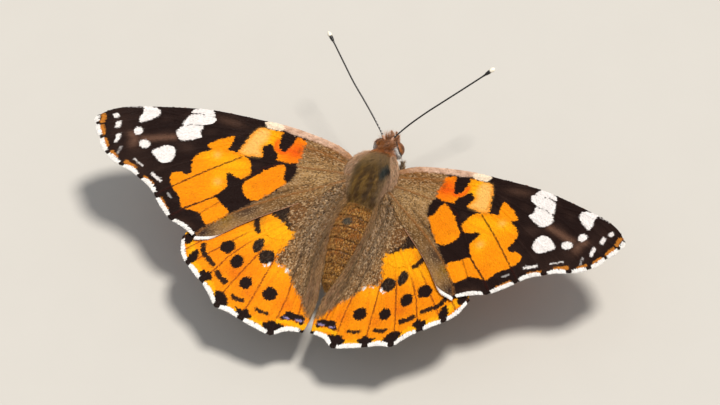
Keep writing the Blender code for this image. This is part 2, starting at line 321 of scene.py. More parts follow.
def gridFaces(rows, columns, closed=False, flip=False):
    # quads of a rows x columns grid of points; closed joins the last column to the first
    i = np.arange(rows - 1)[:, None]
    j = np.arange(columns if closed else columns - 1)[None, :]
    k = (j + 1) % columns
    quads = np.stack([i * columns + j, (i + 1) * columns + j, (i + 1) * columns + k, i * columns + k], -1)
    quads = quads.reshape(-1, 4)
    return quads[:, ::-1] if flip else quads


def tubeAlong(path, radii, around, flat=1.0):
    # rings of a circle carried along the path: each ring stands across the path's direction, turned as little
    # as possible from the one before; flat squeezes it along its second axis
    path = np.asarray(path, float)
    ahead = np.gradient(path, axis=0)
    ahead /= np.linalg.norm(ahead, axis=1)[:, None]
    side = np.empty_like(path)
    side[0] = np.cross(ahead[0], [0.31, 0.17, 0.93])
    for i in range(1, len(path)):
        side[i] = side[i - 1] - ahead[i] * (side[i - 1] @ ahead[i])
    side /= np.linalg.norm(side, axis=1)[:, None]
    other = np.cross(ahead, side)
    turn = np.linspace(0, 2 * math.pi, around, endpoint=False)
    ring = side[:, None] * np.cos(turn)[:, None] + flat * other[:, None] * np.sin(turn)[:, None]
    points = path[:, None] + np.asarray(radii)[:, None, None] * ring
    return points, [gridFaces(len(path), around, closed=True, flip=True)]


def capped(points, faces):
    # closes both ends of a tube with a fan to the ring's middle
    rows, around = points.shape[:2]
    flat = points.reshape(-1, 3)
    n = len(flat)
    j = np.arange(around)
    k = (j + 1) % around
    first = np.stack([np.full(around, n), k, j], -1)
    last = np.stack([np.full(around, n + 1), (rows - 1) * around + j, (rows - 1) * around + k], -1)
    return np.vstack([flat, points[0].mean(0), points[-1].mean(0)]), faces + [first, last]


def joined(parts):
    # several sets of points, faces and colours as one
    points, faces, tones, start = [], [], [], 0
    for p, f, c in parts:
        points.append(p)
        faces += [one + start for one in f]
        tones.append(np.broadcast_to(c, p.shape))
        start += len(p)
    return np.vstack(points), faces, np.vstack(tones)


# Tufts: every coat is made of one of these two small closed shapes

bladeFaces = np.array([(0, 5, 1), (1, 5, 2), (2, 5, 3), (3, 5, 4), (4, 5, 0), (0, 1, 2), (0, 2, 3), (0, 3, 4)])
hairFaces = np.array([(0, 2, 1), (0, 1, 4), (0, 4, 3), (1, 2, 5), (1, 5, 4), (2, 0, 3), (2, 3, 5),
                      (3, 4, 6), (4, 5, 6), (5, 3, 6)])
patchSize = 0.003     # how much of the bake map one tuft takes


def unit(v):
    return v / np.maximum(np.linalg.norm(v, axis=-1, keepdims=True), 1e-9)


def blades(roots, lie, up, length, width, lift):
    # a flat scale: root, two shoulders, two tip corners, and a raised middle; it slopes up by lift towards its tip
    lie = unit(lie)
    side = unit(np.cross(up, lie))
    along = np.array([0.0, 0.45, 1.0, 1.0, 0.45, 0.6])
    over = np.array([0.0, 0.5, 0.26, -0.26, -0.5, 0.0])
    raised = np.array([0.0, 0.45, 1.0, 1.0, 0.45, 1.3])
    points = (roots[:, None] + lie[:, None] * (along * length[:, None])[..., None]
              + side[:, None] * (over * width[:, None])[..., None]
              + up[:, None] * (raised * lift[:, None] + 0.08 * (raised > 1.1) * width[:, None])[..., None])
    return points, bladeFaces, along, over * 2


def hairs(roots, lie, up, length, width, lift):
    # a three-sided spike with one bend: it stands up by lift at the bend and lies down again to its tip
    lie = unit(lie)
    side = unit(np.cross(up, lie))
    turn = np.array([0.5, 7 / 6, 11 / 6]) * math.pi
    ring = (side[:, None] * np.cos(turn)[:, None] + up[:, None] * np.sin(turn)[:, None]) * (width / 2)[:, None, None]
    middle = roots + lie * (0.5 * length)[:, None] + up * (0.75 * lift)[:, None]
    tip = roots + lie * length[:, None] + up * lift[:, None]
    points = np.concatenate([roots[:, None] + ring, middle[:, None] + 0.8 * ring, tip[:, None]], axis=1)
    along = np.array([0, 0, 0, 0.5, 0.5, 0.5, 1.0])
    over = np.array([0, -0.9, 0.9, 0, -0.9, 0.9, 0.0])
    return points, hairFaces, along, over


def makeCoat(name, kind, roots, lie, up, length, width, lift, tones, rootMap, material, rootShade, leg=False):
    # many tufts as one mesh: each darkens to rootShade at its root, and is a small patch of the bake map there.
    # Width may be one value for all.
    width = np.broadcast_to(width, length.shape)
    points, shape, along, over = kind(roots, lie, up, length, width, lift)
    count, corners = points.shape[:2]
    shade = rootShade + (1.08 - rootShade) * along
    colours = tones[:, None, :] * shade[None, :, None]
    faces = (shape[None] + (np.arange(count) * corners)[:, None, None]).reshape(-1, 3)
    patch = np.stack([over * 0.5, along - 0.5], -1) * patchSize
    bakeMap = (rootMap[:, None] + patch[None]).reshape(-1, 2)
    return makePiece(name, points.reshape(-1, 3), [faces], material, colours.reshape(-1, 3),
                     across=np.tile(over, count), bakeMap=np.clip(bakeMap, 0.001, 0.999), leg=leg)


def rootsOver(surface, rowPitch, pitch, rng):
    # places for tufts in rows over a surface: rows an even length apart, each with places an even length apart,
    # all shaken a little so that no grid shows. Returns the two parameters of each place.
    probes, shake = 160, 0.35
    s = t = np.linspace(0, 1, probes)
    probe = surface(s[:, None] + 0 * t, t[None, :] + 0 * s[:, None])
    down = np.linalg.norm(np.diff(probe, axis=0), axis=2).mean(1)
    along = np.concatenate([[0.0], np.cumsum(down)])
    rows = np.interp((np.arange(int(along[-1] / rowPitch)) + 0.5) * rowPitch, along, s)
    over = np.cumsum(np.linalg.norm(np.diff(probe, axis=1), axis=2), axis=1)
    placesS, placesT = [], []
    for number, row in enumerate(rows):
        arc = np.concatenate([[0.0], over[int(row * (probes - 1))]])
        count = max(3, int(arc[-1] / pitch))
        even = (np.arange(count) + 0.25 + 0.5 * (number % 2) + rng.uniform(-shake, shake, count)) / count
        placesT.append(np.interp(limited(even) * arc[-1], arc, t))
        placesS.append(np.full(count, row))
    s, t = np.concatenate(placesS), np.concatenate(placesT)
    step = 1.0 / len(rows)
    return limited(s + rng.uniform(-shake, shake, len(s)) * step), limited(t)


def surfaceFrame(surface, s, t):
    # point, direction of growing s, and unit normal of a surface, from small steps in both parameters
    step = 0.002
    here = surface(s, t)
    ahead = surface(np.minimum(s + step, 1), t) - surface(np.maximum(s - step, 0), t)
    over = surface(s, np.minimum(t + step, 1)) - surface(s, np.maximum(t - step, 0))
    return here, unit(ahead), unit(np.cross(ahead, over))


def facing(up, away):
    # normals turned to the side that away points to
    return up * np.sign((up * away).sum(1))[:, None]


def closedShell(surface, start, stop, rows, around, mirrored=False):
    # a surface that closes round its second parameter, both ends capped; mirrored turns the faces of a mirror image
    s = np.linspace(start, stop, rows)[:, None] + np.zeros(around)
    t = np.linspace(0, 1, around, endpoint=False)[None, :] + 0 * s
    flat, faces = capped(surface(s, t), [gridFaces(rows, around, closed=True, flip=True)])
    return flat, faces if mirrored else [f[:, ::-1] for f in faces]


# Camera, light and floor

view = {"right": (-0.9001, -0.3818, -0.2100), "up": (0.2132, -0.8062, 0.5520), "towards": (-0.38, 0.4521, 0.8070),
        "distance": 450.0, "pixelsPerMm": 9.2, "originPixel": (372.4, 190.6), "imageSize": (720, 405), "sensor": 36.0}


def placeCamera():
    # the lens makes one millimetre at the body pixelsPerMm wide; the camera looks at the image's middle
    right, up, towards = (np.array(view[k]) for k in ("right", "up", "towards"))
    width, height = view["imageSize"]
    px, py = view["originPixel"]
    aim = np.array([0.0, pose["shift"], pose["height"]])
    aim = aim + right * (width / 2 - px) / view["pixelsPerMm"] + up * (py - height / 2) / view["pixelsPerMm"]
    place = (aim + towards * view["distance"]) * mm
    data = bpy.data.cameras.new("camera")
    data.sensor_width = view["sensor"]
    data.lens = view["sensor"] * view["distance"] * view["pixelsPerMm"] / width
    data.clip_start, data.clip_end = 0.01, 20.0
    camera = bpy.data.objects.new("camera", data)
    turn = Matrix((right, up, towards)).transposed().to_4x4()
    camera.matrix_world = Matrix.Translation(place) @ turn
    bpy.context.scene.collection.objects.link(camera)
    bpy.context.scene.camera = camera


studio = {"sunFrom": (-0.36, -0.22, 0.9), "sunSoftness": 11.0, "sunStrength": 3.7, "sunColour": "#FFF9F0",
          "world": "#E6E8EC", "worldStrength": 0.55, "floor": "#C2BFB9", "floorSize": 12.0}


def buildStudio():
    # a wide soft sun over the butterfly's right shoulder, and an even sky
    data = bpy.data.lights.new("sun", "SUN")
    data.angle, data.energy = math.radians(studio["sunSoftness"]), studio["sunStrength"]
    data.color = tone(studio["sunColour"])
    sun = bpy.data.objects.new("sun", data)
    sun.rotation_euler = Vector(studio["sunFrom"]).to_track_quat("Z", "Y").to_euler()
    bpy.context.scene.collection.objects.link(sun)
    world = bpy.data.worlds.new("studio")
    world.use_nodes = True
    sky = world.node_tree.nodes["Background"]
    sky.inputs["Color"].default_value = (*tone(studio["world"]), 1)
    sky.inputs["Strength"].default_value = studio["worldStrength"]
    bpy.context.scene.world = world
    bpy.context.scene.view_settings.view_transform = "Standard"
    # Painted board: matt, pale, with a barely uneven roller coat
    made, tree, shader, place = newMaterial("paintedBoard", Roughness=0.85)
    speck = addNode(tree, "TexNoise", {"Vector": place, "Scale": perMm(6.0), "Detail": 3.0}).outputs["Fac"]
    paint = (*tone(studio["floor"]), 1)
    mix = addNode(tree, "Mix", {0: speck, 6: paint, 7: tuple(0.97 * c for c in paint)}, data_type="RGBA")
    finishWith(tree, shader, mix.outputs[2], None, speck, 0.02)
    mesh = bpy.data.meshes.new("floor")
    half = studio["floorSize"] / 2
    mesh.from_pydata([(-half, -half, 0), (half, -half, 0), (half, half, 0), (-half, half, 0)], [], [(0, 1, 2, 3)])
    mesh.materials.append(made)
    floor = bpy.data.objects.new("floor", mesh)
    bpy.context.scene.collection.objects.link(floor)


placeCamera()
buildStudio()
print("camera and studio")


# Wings: plan outlines are (outwards, backwards), the same for both sides

# costa and inner run outwards; ends holds the vein ends along the margin, dips how deep it is drawn in between them;
# pose is the height at the root, the rise outwards and the rise backwards
foreShape = {
    "costa": [(1.4, -1.7), (2.9, -2.5), (4.9, -3.3), (7.9, -3.7), (11.0, -3.85), (15.0, -3.6), (18.7, -3.3),
              (21.4, -2.8), (24.3, -2.05), (27.5, -1.1), (29.5, -0.15), (30.7, 0.85), (31.3, 1.8)],
    "ends": [(31.3, 1.8), (31.1, 2.65), (30.15, 4.0), (28.85, 5.55), (26.95, 6.35), (24.35, 7.15), (21.7, 8.75),
             (19.2, 10.8), (15.6, 12.1)],
    "dips": [0.0, 0.0, 0.0, 0.1, 0.35, 0.45, 0.15, 0.4],
    "inner": [(1.4, 0.7), (2.9, 1.2), (5.0, 3.4), (7.5, 5.6), (9.7, 7.5), (11.4, 9.2), (13.2, 11.1), (15.6, 12.1)],
    "pose": {"Left": (1.56, 0.130, 0.038), "Right": (1.43, 0.102, 0.136)},
    "yaw": {"Left": 0.0, "Right": 0.0}, "curl": 0.45, "curlFrom": 26.0, "droop": {"Left": 0.06, "Right": 0.26},
    "rows": 200, "perCell": 16,
}
hindShape = {
    "costa": [(1.2, 0.2), (2.95, 1.1), (5.6, 2.0), (9.2, 3.9), (12.7, 6.6), (15.4, 9.3), (16.7, 11.1), (16.85, 12.2)],
    "ends": [(16.85, 12.2), (15.15, 15.3), (13.0, 16.8), (10.45, 19.2), (7.5, 19.7), (3.85, 20.4), (0.6, 19.0)],
    "dips": [-0.15, 0.2, 0.35, 0.4, 0.2, 0.6],
    "inner": [(1.2, 2.2), (1.5, 3.0), (1.6, 4.5), (1.62, 6.5), (1.5, 8.5), (1.22, 10.5), (0.92, 12.2), (0.6, 13.6),
              (0.33, 15.0), (0.35, 17.2), (0.6, 19.0)],
    "pose": {"Left": (1.77, 0.178, -0.019), "Right": (1.16, 0.178, 0.046)},
    "yaw": {"Left": 0.0152, "Right": -0.0152}, "hinge": (3.0, 2.0), "rows": 150, "perCell": 19,
    "tuck": {"Left": 0.45, "Right": 0.22}, "tuckFrom": 0.3, "tuckOver": 4.0, "clear": 0.42,
}
shapes = {"fore": foreShape, "hind": hindShape}
pleatPitch = 0.95       # mm between the pleats beside the body
wingMake = {"thick": 0.13, "fringe": 0.5, "veinHigh": 0.07, "veinWide": 0.13}

foreVeins = {
    "cells": [[(9.9, 0.6), (11.7, 2.0), (13.2, 4.0), (15.3, 6.8), (17.9, 9.2), (19.2, 10.8)],
              [(14.6, 7.3), (15.3, 8.2), (16.2, 9.5)], [(12.8, 8.1), (13.7, 9.2), (14.7, 10.4)],
              [(14.3, 1.3), (16.6, 3.4), (18.2, 5.0), (20.2, 7.1), (21.7, 8.75)],
              [(14.6, 0.6), (19.5, 3.6), (24.35, 7.15)], [(14.8, -0.6), (20.0, 2.3), (26.95, 6.35)],
              [(14.5, -1.7), (21.0, 0.9), (28.85, 5.55)], [(14.0, -2.1), (22.0, -0.4), (30.15, 4.0)],
              [(22.0, -0.9), (25.0, -0.4), (31.1, 2.65)], [(22.0, -1.6), (26.5, -0.9), (31.3, 1.8)]],
    "stems": [[(2.0, -1.3), (7.0, -2.0), (13.3, -2.2), (14.6, -0.6), (14.3, 1.3)],
              [(2.0, -0.4), (5.0, 0.0), (9.3, 0.75), (14.2, 1.35)],
              [(2.0, -1.8), (7.0, -3.0), (14.5, -3.5)], [(13.0, -2.3), (16.5, -3.0), (19.5, -3.15)],
              [(2.6, 0.5), (5.5, 2.6), (9.0, 5.0), (12.8, 8.2), (14.7, 10.5), (15.6, 12.1)]],
    "fold": [[(6.0, 2.0), (11.0, 5.8), (14.4, 7.6), (15.7, 9.4)]],
}
hindVeins = {
    "cells": [[(3.0, 2.5), (9.0, 4.2), (15.4, 10.0), (16.8, 12.1)],
              [(4.0, 3.0), (8.5, 6.0), (13.5, 10.6), (16.2, 13.7)], [(8.9, 7.9), (12.3, 11.9), (15.15, 15.3)],
              [(8.4, 8.9), (10.9, 12.6), (12.2, 15.3), (13.0, 16.8)],
              [(7.2, 9.4), (8.5, 12.5), (10.2, 17.2), (10.45, 19.2)],
              [(6.0, 9.0), (6.5, 12.9), (7.2, 18.0), (7.5, 19.7)],
              [(3.6, 4.0), (4.4, 8.0), (3.9, 12.4), (3.6, 14.4), (3.7, 18.4), (3.85, 20.4)],
              [(2.9, 3.5), (3.2, 6.0), (2.6, 12.0), (1.7, 16.5), (1.6, 19.6)]],
    "stems": [[(3.4, 3.2), (5.5, 6.2), (6.0, 9.0)], [(6.0, 9.0), (7.2, 9.4), (8.4, 8.9), (8.9, 7.9)]],
    "fold": [[(2.3, 7.5), (2.4, 10.5), (2.0, 13.5)], [(3.9, 9.5), (3.8, 13.0), (3.6, 16.0)]],
}
veins = {"fore": foreVeins, "hind": hindVeins}


def scallopedMargin(shape):
    # from vein end to vein end, each step drawn inwards by a half sine of its own depth
    ends = np.asarray(shape["ends"], float)
    line = [ends[:1]]
    t = np.linspace(0, 1, 25)[1:, None]
    for start, stop, dip in zip(ends[:-1], ends[1:], shape["dips"]):
        step = stop - start
        inwards = np.array([-step[1], step[0]]) / np.linalg.norm(step)
        line.append(start + t * step + dip * np.sin(math.pi * t) * inwards)
    return np.vstack(line)


for shape in shapes.values():
    shape["costaLine"] = curveThrough(shape["costa"], 400)
    shape["innerLine"] = curveThrough(shape["inner"], 400)
    shape["marginLine"] = scallopedMargin(shape)


def readLine(line, t):
    where = np.linspace(0, 1, len(line))
    return np.stack([np.interp(t, where, line[:, 0]), np.interp(t, where, line[:, 1])], -1)


def wingPlan(kind, s, t):
    # a patch blended from its four edges: s runs from root to margin, t from costa to inner margin
    shape = shapes[kind]
    front, rear = readLine(shape["costaLine"], s), readLine(shape["innerLine"], s)
    margin = readLine(shape["marginLine"], t)
    rootA, rootB = shape["costaLine"][0], shape["innerLine"][0]
    tipA, tipB = shape["costaLine"][-1], shape["innerLine"][-1]
    s, t = s[..., None], t[..., None]
    root = (1 - t) * rootA + t * rootB
    corners = (1 - s) * (1 - t) * rootA + (1 - s) * t * rootB + s * (1 - t) * tipA + s * t * tipB
    return (1 - t) * front + t * rear + (1 - s) * root + s * margin - corners


def behindForewing(x, y):
    # how far a place is behind the straight line under the forewing's inner margin
    start, stop = np.array(foreShape["inner"][1]), np.array(foreShape["inner"][-1])
    ahead = (stop - start) / np.linalg.norm(stop - start)
    return (y - start[1]) * ahead[0] - (x - start[0]) * ahead[1]


def wingHeight(kind, side, x, y):
    # the wing's plane, with the forewing's curled tip and the hindwing's tuck under the forewing
    shape = shapes[kind]
    base, rise, back = shape["pose"][side]
    z = base + rise * x + back * y
    if kind == "fore":
        # near the body its inner edge lies down on the hindwing
        z = z - shape["droop"][side] * bell(lineDistance(x, y, shape["inner"], 40), 0.9) * limited((13 - x) / 4)
        reach = shape["ends"][0][0]
        return z + shape["curl"] * limited((x - shape["curlFrom"]) / (reach - shape["curlFrom"])) ** 2
    past = behindForewing(x, y)
    z = z - shape["tuck"][side] * (1 - rising((past - shape["tuckFrom"]) / shape["tuckOver"]))
    # where the forewing lies over it, it stays clear of the forewing's underside
    under = limited((0.7 - past) / 0.7) * limited((x - 7.0) / 3)
    return z - np.maximum(z + shape["clear"] - wingHeight("fore", side, x, y), 0) * under


def fromBody(x, y):
    # how far out a place on the hindwing is from its inner margin; the pleats there run along lines of equal distance
    return x - np.interp(y, hindShape["innerLine"][:, 1], hindShape["innerLine"][:, 0])


def wingRelief(kind, x, y):
    # raised veins, cells that sag between them, and on the hindwing the pleats beside the body
    ridge = np.zeros_like(x)
    nearest = np.full(x.shape, farOff)
    for line in veins[kind]["cells"] + veins[kind]["stems"]:
        d = lineDistance(x, y, line)
        nearest = np.minimum(nearest, d)
        ridge = np.maximum(ridge, bell(d, wingMake["veinWide"]))
    fold = np.zeros_like(x)
    for line in veins[kind]["fold"]:
        fold = np.maximum(fold, bell(lineDistance(x, y, line), 0.35))
    z = wingMake["veinHigh"] * ridge - 0.10 * fold
    if kind == "fore":
        # the costal vein is a stout rib, and the base swells over the wing muscles
        rib = lineDistance(x, y, foreShape["costa"], 40)
        z += 0.16 * bell(rib - 0.25, 0.3) * np.clip(1.25 - x / 18, 0.15, 1)
        return z + 0.05 * (1 - np.exp(-nearest / 0.5))
    out = fromBody(x, y)
    pleats = limited((3.4 - out) / 1.2) * limited((18.0 - y) / 3)
    z += 0.15 * np.sin(2 * math.pi * out / pleatPitch) * pleats
    z -= 0.38 * limited(1 - out / 1.1) ** 2 * limited((14.0 - y) / 3)
    return z + 0.12 * (1 - np.exp(-nearest / 0.6))


def wingPoints(kind, side, s, t, layer=0.0, relief=None):
    # body-frame points: plan place turned by the wing's yaw, height from plane and relief; layer is +1 top, -1 under
    shape = shapes[kind]
    plan = wingPlan(kind, s, t)
    x, y = plan[..., 0], plan[..., 1]
    bumps = wingRelief(kind, x, y) if relief is None else relief
    edge = np.clip((1 - s) * 12, 0.25, 1)
    z = wingHeight(kind, side, x, y) + bumps * (1.0 if layer >= 0 else 0.6) + layer * wingMake["thick"] / 2 * edge
    yaw = shape["yaw"][side]
    if yaw:
        hx, hy = shape["hinge"]
        dx, dy = x - hx, y - hy
        x, y = hx + math.cos(yaw) * dx - math.sin(yaw) * dy, hy + math.sin(yaw) * dx + math.cos(yaw) * dy
    return np.stack([sides[side] * x, y, z], -1)


def membraneEnd(kind, t):
    # the share of each root-to-margin line where the membrane stops and the fringe starts
    long = np.linalg.norm(wingPlan(kind, np.ones_like(t), t) - wingPlan(kind, np.zeros_like(t), t), axis=-1)
    return 1 - wingMake["fringe"] / long


# Wing markings in the wing's plan: areas are outlines, spots are (outwards, backwards, half width, half height), and
# strokes are a line with its half width and strength

foreMarks = {
    "orange": [[(13.9, 1.2), (14.9, 0.95), (16.0, 0.95), (17.2, 1.2), (18.2, 1.7), (18.8, 2.2), (19.3, 3.0),
                (19.2, 4.0), (18.85, 4.75), (19.3, 5.15), (20.0, 5.15), (20.6, 5.3), (20.85, 5.9), (20.4, 6.8),
                (20.0, 7.3), (19.3, 7.7), (18.8, 8.2), (18.4, 9.0), (17.9, 9.25), (17.0, 9.15), (16.2, 9.2),
                (15.6, 9.6), (15.2, 10.1), (14.8, 10.3), (14.2, 10.0), (13.4, 9.0), (12.8, 8.0), (13.2, 6.0),
                (13.0, 3.9), (12.6, 3.0), (12.8, 2.4), (13.2, 1.6)],
               [(16.1, -0.8), (16.9, -0.4), (17.6, 0.1), (18.4, 0.9), (18.2, 1.3), (17.4, 1.5), (16.4, 1.3),
                (16.05, 0.5)],
               [(9.5, 0.9), (10.2, 1.1), (11.4, 2.2), (12.2, 3.2), (12.95, 4.2), (12.8, 4.9), (12.3, 5.6), (11.8, 5.9),
                (10.8, 5.9), (10.2, 5.2), (9.6, 4.5), (9.0, 3.5), (8.5, 2.9), (8.9, 2.4), (9.1, 1.5)],
               [(7.6, 0.0), (7.8, -1.0), (7.8, -2.4), (8.9, -2.8), (9.6, -2.9), (11.2, -3.0), (12.8, -2.9),
                (13.7, -2.8), (14.2, -2.2), (14.5, -1.2), (14.9, 0.3), (15.0, 0.8), (14.0, 1.05), (12.4, 0.7),
                (10.5, 0.5), (9.3, 0.45), (8.2, 0.1)]],
    "pale": [[(12.75, -2.8), (13.7, -2.75), (14.2, -2.1), (14.5, -1.1), (14.8, 0.3), (14.8, 0.8), (14.0, 0.95),
              (12.5, 0.7), (12.5, 0.2), (12.8, -0.5), (12.5, -1.2), (12.4, -2.0)]],
    "black": [[(9.6, -3.0), (11.1, -3.0), (11.15, -2.0), (11.0, -1.2), (10.5, -0.75), (10.0, -0.9), (9.75, -1.6),
               (9.6, -2.4)],
              [(11.9, -1.25), (12.3, -0.9), (12.65, -0.5), (12.3, 0.2), (12.2, 0.8), (11.4, 0.9), (10.7, 0.5),
               (10.7, -0.2), (11.3, -0.6)],
              [(8.0, 1.0), (9.0, 0.9), (9.15, 1.5), (8.9, 2.4), (8.3, 2.5), (8.0, 1.9)],
              [(13.0, 3.9), (13.9, 3.9), (14.6, 3.6), (15.15, 3.7), (14.9, 4.3), (14.6, 5.0), (14.7, 5.7),
               (15.2, 6.6), (15.0, 6.95), (14.5, 7.2), (13.9, 7.6), (13.3, 7.9), (12.8, 8.4), (12.2, 8.2),
               (11.4, 7.2), (10.4, 6.1), (10.7, 5.8), (11.3, 5.95), (11.9, 5.95), (12.5, 5.5), (12.9, 4.8)]],
    "white": [[(25.0, -1.0), (25.5, -1.5), (26.2, -1.5), (27.0, -1.3), (26.9, -0.6), (26.95, 0.2), (26.7, 0.75),
               (26.1, 0.4), (25.3, -0.3)],
              [(21.4, 3.6), (21.6, 2.8), (22.1, 2.45), (22.8, 2.55), (23.5, 3.1), (24.0, 3.7), (23.3, 4.3),
               (22.6, 4.7), (22.0, 4.6), (21.5, 4.1)],
              [(19.2, -2.7), (19.8, -3.2), (20.9, -3.05), (21.8, -2.2), (20.8, -2.3), (19.4, -2.4)],
              [(18.8, -2.0), (19.1, -2.4), (20.5, -2.3), (21.7, -1.9), (22.0, -1.2), (22.1, -0.4), (21.0, -0.8),
               (19.9, -1.05), (19.1, -1.5)],
              [(19.85, -1.0), (21.0, -0.75), (22.0, -0.3), (22.4, 0.5), (22.0, 1.2), (21.4, 1.4), (20.4, 1.0),
               (19.7, 0.5), (19.6, 0.2), (19.9, -0.3)]],
    "whiteSpots": [(26.45, 1.8, 0.5, 0.5), (25.15, 3.1, 0.6, 0.5), (29.45, 0.85, 0.3, 0.3), (28.8, 1.8, 0.3, 0.45),
                   (28.25, 3.3, 0.25, 0.6)],
    "streak": [(22.4, 1.3), (25.4, 2.5)],
    "ring": [([(9.7, -1.1), (10.4, -0.6), (11.2, -0.95), (11.4, -1.8)], 0.25, 0.8)],
    "greyLines": [([(27.0, -1.3), (28.6, -0.7)], 0.12, 0.5), ([(24.3, 5.7), (25.5, 5.2)], 0.09, 0.8),
                  ([(21.7, 6.8), (22.9, 6.3)], 0.16, 0.9), ([(27.45, 4.3), (27.5, 5.1)], 0.12, 0.35),
                  ([(19.8, 8.4), (20.3, 8.0)], 0.12, 0.35)],
    "lunules": [([(30.65, 1.35), (30.55, 2.0)], 0.26, 0.85), ([(30.35, 2.65), (29.95, 3.3)], 0.26, 0.85),
                ([(29.45, 4.05), (29.05, 4.65)], 0.25, 0.85), ([(28.2, 5.25), (27.45, 5.6)], 0.22, 0.85),
                ([(26.25, 5.8), (25.05, 6.2)], 0.24, 0.85), ([(23.55, 6.95), (22.45, 7.45)], 0.22, 0.85),
                ([(20.75, 8.9), (19.75, 9.8)], 0.2, 0.85)],
    "cream": [(11.3, -3.55), (12.0, -3.9), (13.0, -3.9), (13.5, -3.4), (13.3, -3.1), (12.9, -2.95), (11.5, -3.1)],
    "costa": [(1.0, -1.8), (3.0, -3.3), (5.0, -4.1), (8.0, -4.5), (11.4, -4.5), (11.4, -3.25), (8.0, -3.0),
              (5.0, -2.65), (3.0, -1.9), (1.0, -1.2)],
    "base": [(0.5, -3.2), (5.0, -3.0), (8.1, -2.95), (8.35, -2.0), (8.2, -0.9), (8.25, 0.3), (8.0, 1.0), (8.05, 2.2),
             (8.5, 2.9), (9.6, 4.5), (10.8, 5.9), (12.3, 7.6), (12.9, 8.2), (13.6, 9.3), (14.4, 10.1), (15.3, 11.2),
             (15.8, 12.8), (13.0, 12.6), (9.0, 8.8), (5.0, 5.0), (0.5, 2.8)],
}
hindMarks = {
    "base": [(0.5, 0.5), (6.0, 1.4), (10.3, 3.6), (10.9, 6.0), (9.9, 6.6), (8.6, 6.6), (7.6, 7.0), (6.4, 7.7),
             (5.4, 8.3), (5.6, 9.5), (5.9, 10.5), (6.15, 11.4), (6.2, 12.0), (5.5, 12.25), (4.7, 12.3), (4.2, 13.0),
             (3.7, 13.8), (3.0, 14.4), (2.3, 15.0), (1.8, 15.6), (1.3, 16.3), (0.9, 16.9), (-0.3, 17.2), (-0.5, 15.0),
             (0.2, 11.0), (0.5, 8.0), (0.5, 3.0)],
    "dark": [[(7.3, 5.2), (7.9, 5.5), (8.5, 6.2), (8.7, 6.7), (8.0, 6.95), (7.2, 7.2), (6.6, 7.6), (6.1, 8.0),
              (5.9, 7.8), (6.4, 7.2), (6.9, 6.6), (7.0, 5.8)]],
    "black": [[(9.8, 17.4), (10.5, 17.1), (11.1, 17.3), (10.8, 18.2), (10.5, 19.1), (9.6, 18.9), (9.3, 18.3)],
              [(6.3, 18.9), (6.7, 18.6), (7.0, 18.1), (7.6, 18.4), (8.4, 18.3), (8.0, 18.9), (7.6, 19.7), (7.1, 19.4),
               (6.6, 19.2)],
              [(2.6, 19.0), (3.2, 18.6), (3.9, 18.5), (4.8, 19.0), (5.0, 19.3), (4.5, 19.9), (4.0, 20.5), (3.4, 19.8)],
              [(0.8, 17.4), (1.3, 17.0), (2.0, 17.1), (2.8, 17.0), (3.2, 17.5), (3.5, 18.1), (2.8, 18.1), (1.9, 17.8),
               (1.0, 18.1)],
              [(14.6, 13.2), (15.1, 13.4), (15.4, 14.2), (15.5, 14.9), (15.1, 15.2), (14.7, 14.9), (14.3, 14.2)],
              [(16.1, 11.4), (16.7, 11.7), (16.7, 12.6), (16.0, 12.7), (15.7, 12.1)],
              [(11.9, 16.1), (12.3, 15.3), (12.7, 15.5), (13.2, 15.3), (13.4, 16.0), (13.1, 16.8), (12.6, 16.8),
               (12.3, 16.4)]],
    "bars": [([(10.1, 7.4), (9.8, 8.3), (9.3, 9.1)], 0.3, 0.98),
             ([(12.4, 14.45), (13.3, 13.85), (14.1, 13.2)], 0.27, 0.98),
             ([(14.1, 13.2), (14.3, 12.5)], 0.3, 0.98), ([(10.45, 16.0), (11.1, 15.65), (11.6, 15.2)], 0.31, 0.98),
             ([(7.9, 17.45), (8.5, 17.4), (9.1, 17.25)], 0.25, 0.98),
             ([(4.9, 18.0), (5.6, 18.0), (6.2, 17.85)], 0.2, 0.98)],
    "eyespots": [(11.7, 11.9, 0.84, 0.84), (10.1, 13.3, 0.72, 0.84), (8.3, 15.35, 0.68, 0.74), (5.4, 15.75, 0.8, 0.8)],
    "faded": [(8.6, 10.75, 0.56, 0.95), (7.25, 11.8, 0.88, 0.88)],
    "chips": [(6.7, 12.5, 0.16, 0.24), (4.6, 12.6, 0.2, 0.3), (7.05, 12.78, 0.22, 0.09), (5.5, 12.35, 0.3, 0.06)],
    "lilac": [(1.35, 17.68, 0.38, 0.11), (2.85, 17.82, 0.3, 0.1)],
    "crescent": [([(1.2, 18.3), (2.4, 18.25), (3.6, 18.5)], 0.2, 1.0)],
}
wingColours = {
    "orange": "#FC9600", "deep": "#F08200", "red": "#F05C04", "gold": "#FFB404", "paleOrange": "#FBC66C",
    "black": "#1E0D08", "brown": "#20120C", "white": "#F7F1EE", "fringe": "#ECE9E5", "lunule": "#D4842C",
    "bronzeSheen": "#8A6450", "veinRed": "#7E340A", "vein": "#30100A", "ember": "#DC6408", "ochre": "#A87E22",
    "costa": "#E4BEA4", "costaDark": "#AC7E62", "cream": "#FBE6CA", "faded": "#24170E", "lilac": "#A898C8",
    "tan": "#A8804E", "tanLight": "#CCA66E", "amber": "#A06A32", "olive": "#7C5A30", "umber": "#5E4838",
    "forewingShadowBrown": "#8C5A22", "bark": "#402C24", "ash": "#8E7A66", "speckDark": "#44301E", "speckLight": "#E2C498",
    "greyDark": "#332A24", "greyLight": "#CDB89C", "cocoa": "#845830", "foldTan": "#9C7850", "foldBrown": "#80583A",
    "foldRose": "#94705A", "veinBrown": "#A87038", "rose": "#E8906A", "buff": "#B79F7E", "marble": "#8C7455",
    "marbleDark": "#5B4632", "paleVein": "#E9DCC4",
}
